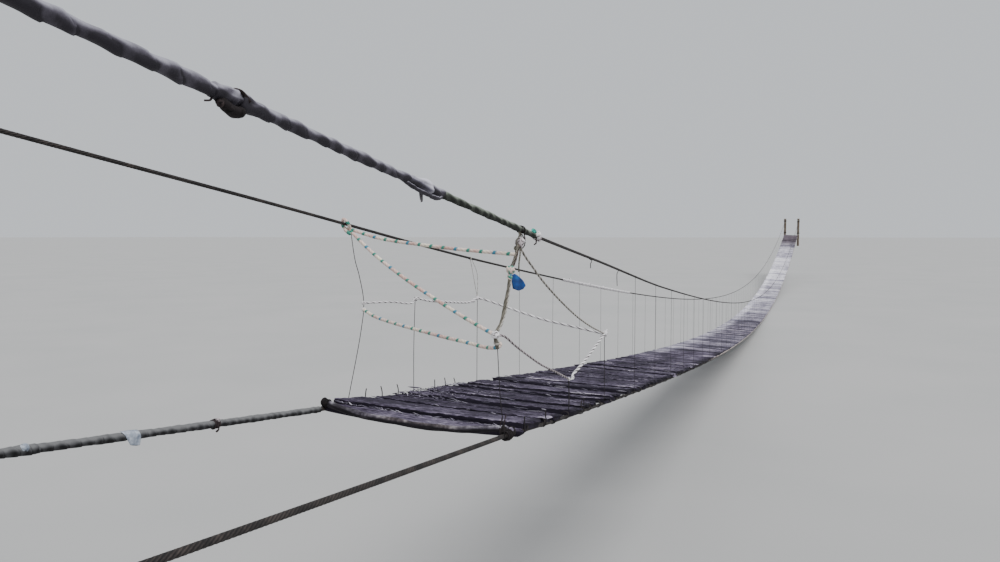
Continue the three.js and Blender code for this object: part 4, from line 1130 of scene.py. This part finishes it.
piece("striped_rope_upper", [
    striped(LOOP, (0.128, 0.180, 0.478), (0.113, 0.101, 0.468), (0.098, 0.021, 0.462), (0.082, -0.063, 0.456),
            (0.069, -0.134, 0.452), (0.054, -0.214, 0.449), (0.046, RIGHT, 0.447)),
    striped(LOOP, (0.097, 0.162, 0.425), (0.036, 0.020, 0.355), (-0.026, -0.125, 0.295),
            (-0.057, -0.196, 0.268), LOWER_KNOT),
    striped(*over(LEFT, (0.142, 0.494, 0.004), (0.132, 0.507, 0.012), (0.123, 0.524, 0.004),
                  (0.122, 0.516, -0.010), (0.137, 0.500, -0.010))),
    striped(*over(LEFT, (0.140, 0.492, -0.008), (0.128, 0.484, -0.014), (0.122, 0.492, -0.004),
                  (0.135, 0.497, 0.006))),
], ["barrier_rope_upper"])
piece("striped_rope_lower", [
    striped(WIRE_KNOT, (0.192, 0.221, 0.249), (0.045, -0.066, 0.218), (-0.001, -0.156, 0.212),
            (-0.042, -0.236, 0.206),
            *over(RIGHT, (-0.076, 0.212), (-0.072, 0.217, -0.006), (-0.076, 0.222, -0.004))),
    knot(WHITE, WIRE_KNOT, 0.008, 0.0025, 3, 6),
], ["barrier_rope_lower"])

MID_CORD = [
    CORD_START, *over(LEFT, (0.400, 0.297), (0.545, 0.301)), CORD_KNOT_1,
    *over(LEFT, (0.678, 0.313), (0.846, 0.316), (1.060, 0.326)), CORD_KNOT_2,
    (1.114, 0.159, 0.321), (1.098, 0.067, 0.300), (1.083, -0.025, 0.281), (1.072, -0.093, 0.272), CORD_END]


def mid_profile(far, angle):
    """Two strands of a 72 mm turn, thinner over the first 0.35 m."""
    wave = np.abs(np.cos(angle - 2 * np.pi * far / 0.072))
    size = (0.0034 + 0.0012 * ease(far, 0.3, 0.5)) * (1 - 0.25 * (1 - wave))
    return size, {"groove": ease(wave, 0.45, 0.15)}


piece("white_mid_cord", [
    tube(WHITE, route(MID_CORD, 0.003), 12, mid_profile),
    knot(WHITE, CORD_START, 0.0075, 0.0026, 3, 11), knot(WHITE, CORD_KNOT_1, 0.0095, 0.0034, 3, 12),
    knot(WHITE, CORD_KNOT_2, 0.010, 0.0034, 3, 13), knot(WHITE, (1.085, LEFT, 0.331), 0.008, 0.003, 3, 16),
    knot(WHITE, CORD_END, 0.0140, 0.0050, 4, 14, 1.25),
    strand(WHITE, [CORD_KNOT_1, *over(LEFT, (0.583, 0.322), (0.600, 0.318))], 0.0022),
    strand(WHITE, [CORD_END, *over(RIGHT, (1.062, 0.262, -0.004), (1.075, 0.266, -0.004))], 0.0026),
    knot(OLIVE, (1.050, LEFT, 0.5015), 0.007, 0.0016, 3, 15),
    *[strand(OLIVE, over(LEFT, (x0, 0.5015), (x1, up)) + [CORD_KNOT_2], 0.0012, step=0.004, columns=6)
      for x0, x1, up in ((1.050, 1.085, 0.43), (1.065, 1.125, 0.44))],
    wire([*over(LEFT, (0.55, CABLE_UP), (0.553, 0.15)), CORD_KNOT_1]),
    wire([*over(LEFT, (1.118, CABLE_UP), (1.122, 0.2)), CORD_KNOT_2]),
    wire([*over(RIGHT, (1.053, CABLE_UP), (1.055, 0.12)), CORD_END]),
], ["mid_cord"])

SLANTING = [UPRIGHT_TOP, *over(RIGHT, (0.118, 0.453), (0.195, 0.425), (0.279, 0.396), (0.437, 0.353),
                               (0.636, 0.308), (0.807, 0.279), (0.907, 0.266)), CORD_END]
LOWER = [LOWER_KNOT,
         *over(RIGHT, (-0.034, 0.238), (0.052, 0.213), (0.153, 0.186), (0.268, 0.158), (0.409, 0.132)),
         HANGER_KNOT]
THICK = [CORD_END,
         *over(RIGHT, (0.928, 0.210), (0.795, 0.167), (0.661, 0.129), (0.607, 0.114), (0.600, 0.102))]
piece("thick_white_rope", [
    tube(WHITE, route(THICK, 0.0025), 16, strands(0.0050, 2, 0.078, 0.42, 0.35)),
    knot(WHITE, (0.601, RIGHT, 0.105), 0.0062, 0.0028, 3, 24, 1.5),
    strand(WHITE, [*over(RIGHT, (0.600, 0.102), (0.578, 0.100)), HANGER_KNOT], 0.0026),
    knot(WHITE, HANGER_KNOT, 0.0062, 0.0026, 3, 21, 1.1),
    wire([*over(RIGHT, (0.558, CABLE_UP), (0.56, 0.04)), HANGER_KNOT], 0.0018),
], ["thick_side_rope"])
for name, material, points, pitch, node in (("olive_slanting_rope", OLIVE, SLANTING, 0.056, "slanting_rope"),
                                            ("pinkish_lower_rope", PINKISH, LOWER, 0.052, "lower_side_rope")):
    piece(name, [strand(material, points, 0.0032, 2, pitch, 0.3, notch=0.3)], [node])
piece("left_handrail_cord", [
    coil(WHITE, run_path("rail_left", 2.37, 4.25, 0.02), 125, 0.0064, 0.0026, 5, wobble=0.6, seed=91),
    *[knot(WHITE, beside("rail_left", x, 0.0, 0.003), 0.0150, 0.0052, 3, seed)
      for x, seed in ((2.52, 92), (2.98, 93), (3.38, 94))],
])


# lashings and rags
piece("handrail_end_lashing", [
    coil(PINKISH, run_path("rail_right", 0.214, 0.238, 0.004), 4.2, (0.0098, 0.0075), 0.0027, 7,
         strands(0.0027, 2, 0.016, 0.2), 0.4, 71),
    knot(WHITE, beside("rail_right", 0.210, -0.005, 0.003), 0.0142, 0.0046, 3, 72, 1.15),
    knot(PINKISH, beside("rail_right", 0.218, -0.008, -0.008), 0.0075, 0.0032, 3, 75),
    strand(TEAL, track("rail_right", (0.170, -0.006, 0.006), (0.174, -0.004, 0.011), (0.186, -0.003, 0.014),
                       (0.195, -0.005, 0.012)), 0.0032),
    strand(TEAL, track("rail_right", (0.176, -0.007, 0.004), (0.182, -0.007, 0.009), (0.194, -0.008, 0.008)),
           0.0026),
    strand(BROWN,
           track("rail_right", (0.205, -0.004, -0.006), (0.200, -0.006, -0.020), (0.190, -0.004, -0.026)),
           0.0022),
], ["handrail_lashing"])
piece("deck_cable_binding", [
    coil(BROWN, run_path("cable_left", -0.442, -0.426, 0.004), 4, 0.0098, 0.0019, 7,
         strands(0.0019, 2, 0.012, 0.2), 0.3, 73),
    strand(BROWN,
           track("cable_left", (-0.436, -0.010, 0.0), (-0.434, -0.011, -0.010), (-0.440, -0.009, -0.016)),
           0.0024),
    knot(PINKISH, beside("cable_left", -0.430, -0.005, 0.0090), 0.0062, 0.0022, 3, 74),
], ["deck_cable_lashing"])


def rag(name, material, place, edges, columns, rows, ripple, node):
    """A scrap of cloth: a patch that blends its four bent edges, rippled across its fall, then thickened.
    Edges are lists of (along, up) points: top and bottom run across, left and right run down."""
    top, bottom = (even(edge, columns) for edge in edges[:2])
    left, right = (even(edge, rows)[:, None] for edge in edges[2:])
    s, t = (a[..., None] for a in np.meshgrid(np.linspace(0, 1, columns), np.linspace(0, 1, rows)))
    corners = top[0] * (1 - s) * (1 - t) + top[-1] * s * (1 - t)
    corners = corners + bottom[0] * (1 - s) * t + bottom[-1] * s * t
    flat = top[None] * (1 - t) + bottom[None] * t + left * (1 - s) + right * s - corners
    grid = place(flat[..., 0], flat[..., 1], (ripple * t * np.sin(s * 8 + 1.0 + t * 2))[..., 0])
    across, down = (lengths(lines)[..., -1].max() for lines in (grid, grid.swapaxes(0, 1)))
    u, v = np.linspace(0, down, rows), np.linspace(0, across, columns)
    made = piece(name, [skin(material, grid, u, v, ring=False, closed=False)], [node])
    solid = made.modifiers.new("thickness", "SOLIDIFY")
    solid.thickness, solid.offset = 0.0008, 0.0


def blue_place(along, up, out):
    """From the upright's knot, with along and out turned about the vertical to face the entry."""
    turn = math.radians(22 - 90)
    across = RIGHT - 0.008 + along * math.sin(turn) + out * math.cos(turn)
    return at(0.0075 + along * math.cos(turn) - out * math.sin(turn), across, 0.389 + up)


def tab_place(along, up, out):
    """Over the cable above its middle, hanging straight down below it."""
    x, reach = -0.670, 0.0112
    bend = np.maximum(up, 0) / reach
    height = float(RUNS["cable_left"][1](x)) + reach * np.sin(bend) + np.minimum(up, 0)
    return at(x + along, CABLE_ACROSS - reach * np.cos(bend) + out, height)


def tail_place(along, up, out):
    """Straight down from the winding of the right handrail."""
    return at(-0.46 + along, RIGHT + 0.0115 + out, float(RUNS["rail_right"][1](-0.46)) + up)


rag("blue_rag_cloth", TARP, blue_place, [
    [(-0.001, 0.004), (0.006, 0.007), (0.014, 0.002)], [(0.000, -0.031), (0.014, -0.035), (0.026, -0.030)],
    [(-0.001, 0.004), (-0.003, -0.012), (0.000, -0.031)],
    [(0.014, 0.002), (0.026, -0.008), (0.033, -0.020), (0.026, -0.030)],
], 13, 13, 0.0016, "blue_rag")
rag("pale_rag_tab", FILM, tab_place, [
    [(-0.026, 0.016), (-0.006, 0.0175), (0.014, 0.015)], [(-0.010, -0.016), (0.004, -0.019), (0.012, -0.018)],
    [(-0.026, 0.016), (-0.018, -0.002), (-0.010, -0.016)], [(0.014, 0.015), (0.016, -0.002), (0.012, -0.018)],
], 9, 13, 0.0012, "pale_rag")
rag("handrail_strip_tail", DUSTY, tail_place, [
    [(-0.008, 0.004), (0.0, 0.006), (0.008, 0.004)], [(-0.003, -0.026), (0.002, -0.030), (0.006, -0.027)],
    [(-0.008, 0.004), (-0.006, -0.012), (-0.003, -0.026)], [(0.008, 0.004), (0.008, -0.012), (0.006, -0.027)],
], 7, 9, 0.0012, "handrail_strip")

low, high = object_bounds()
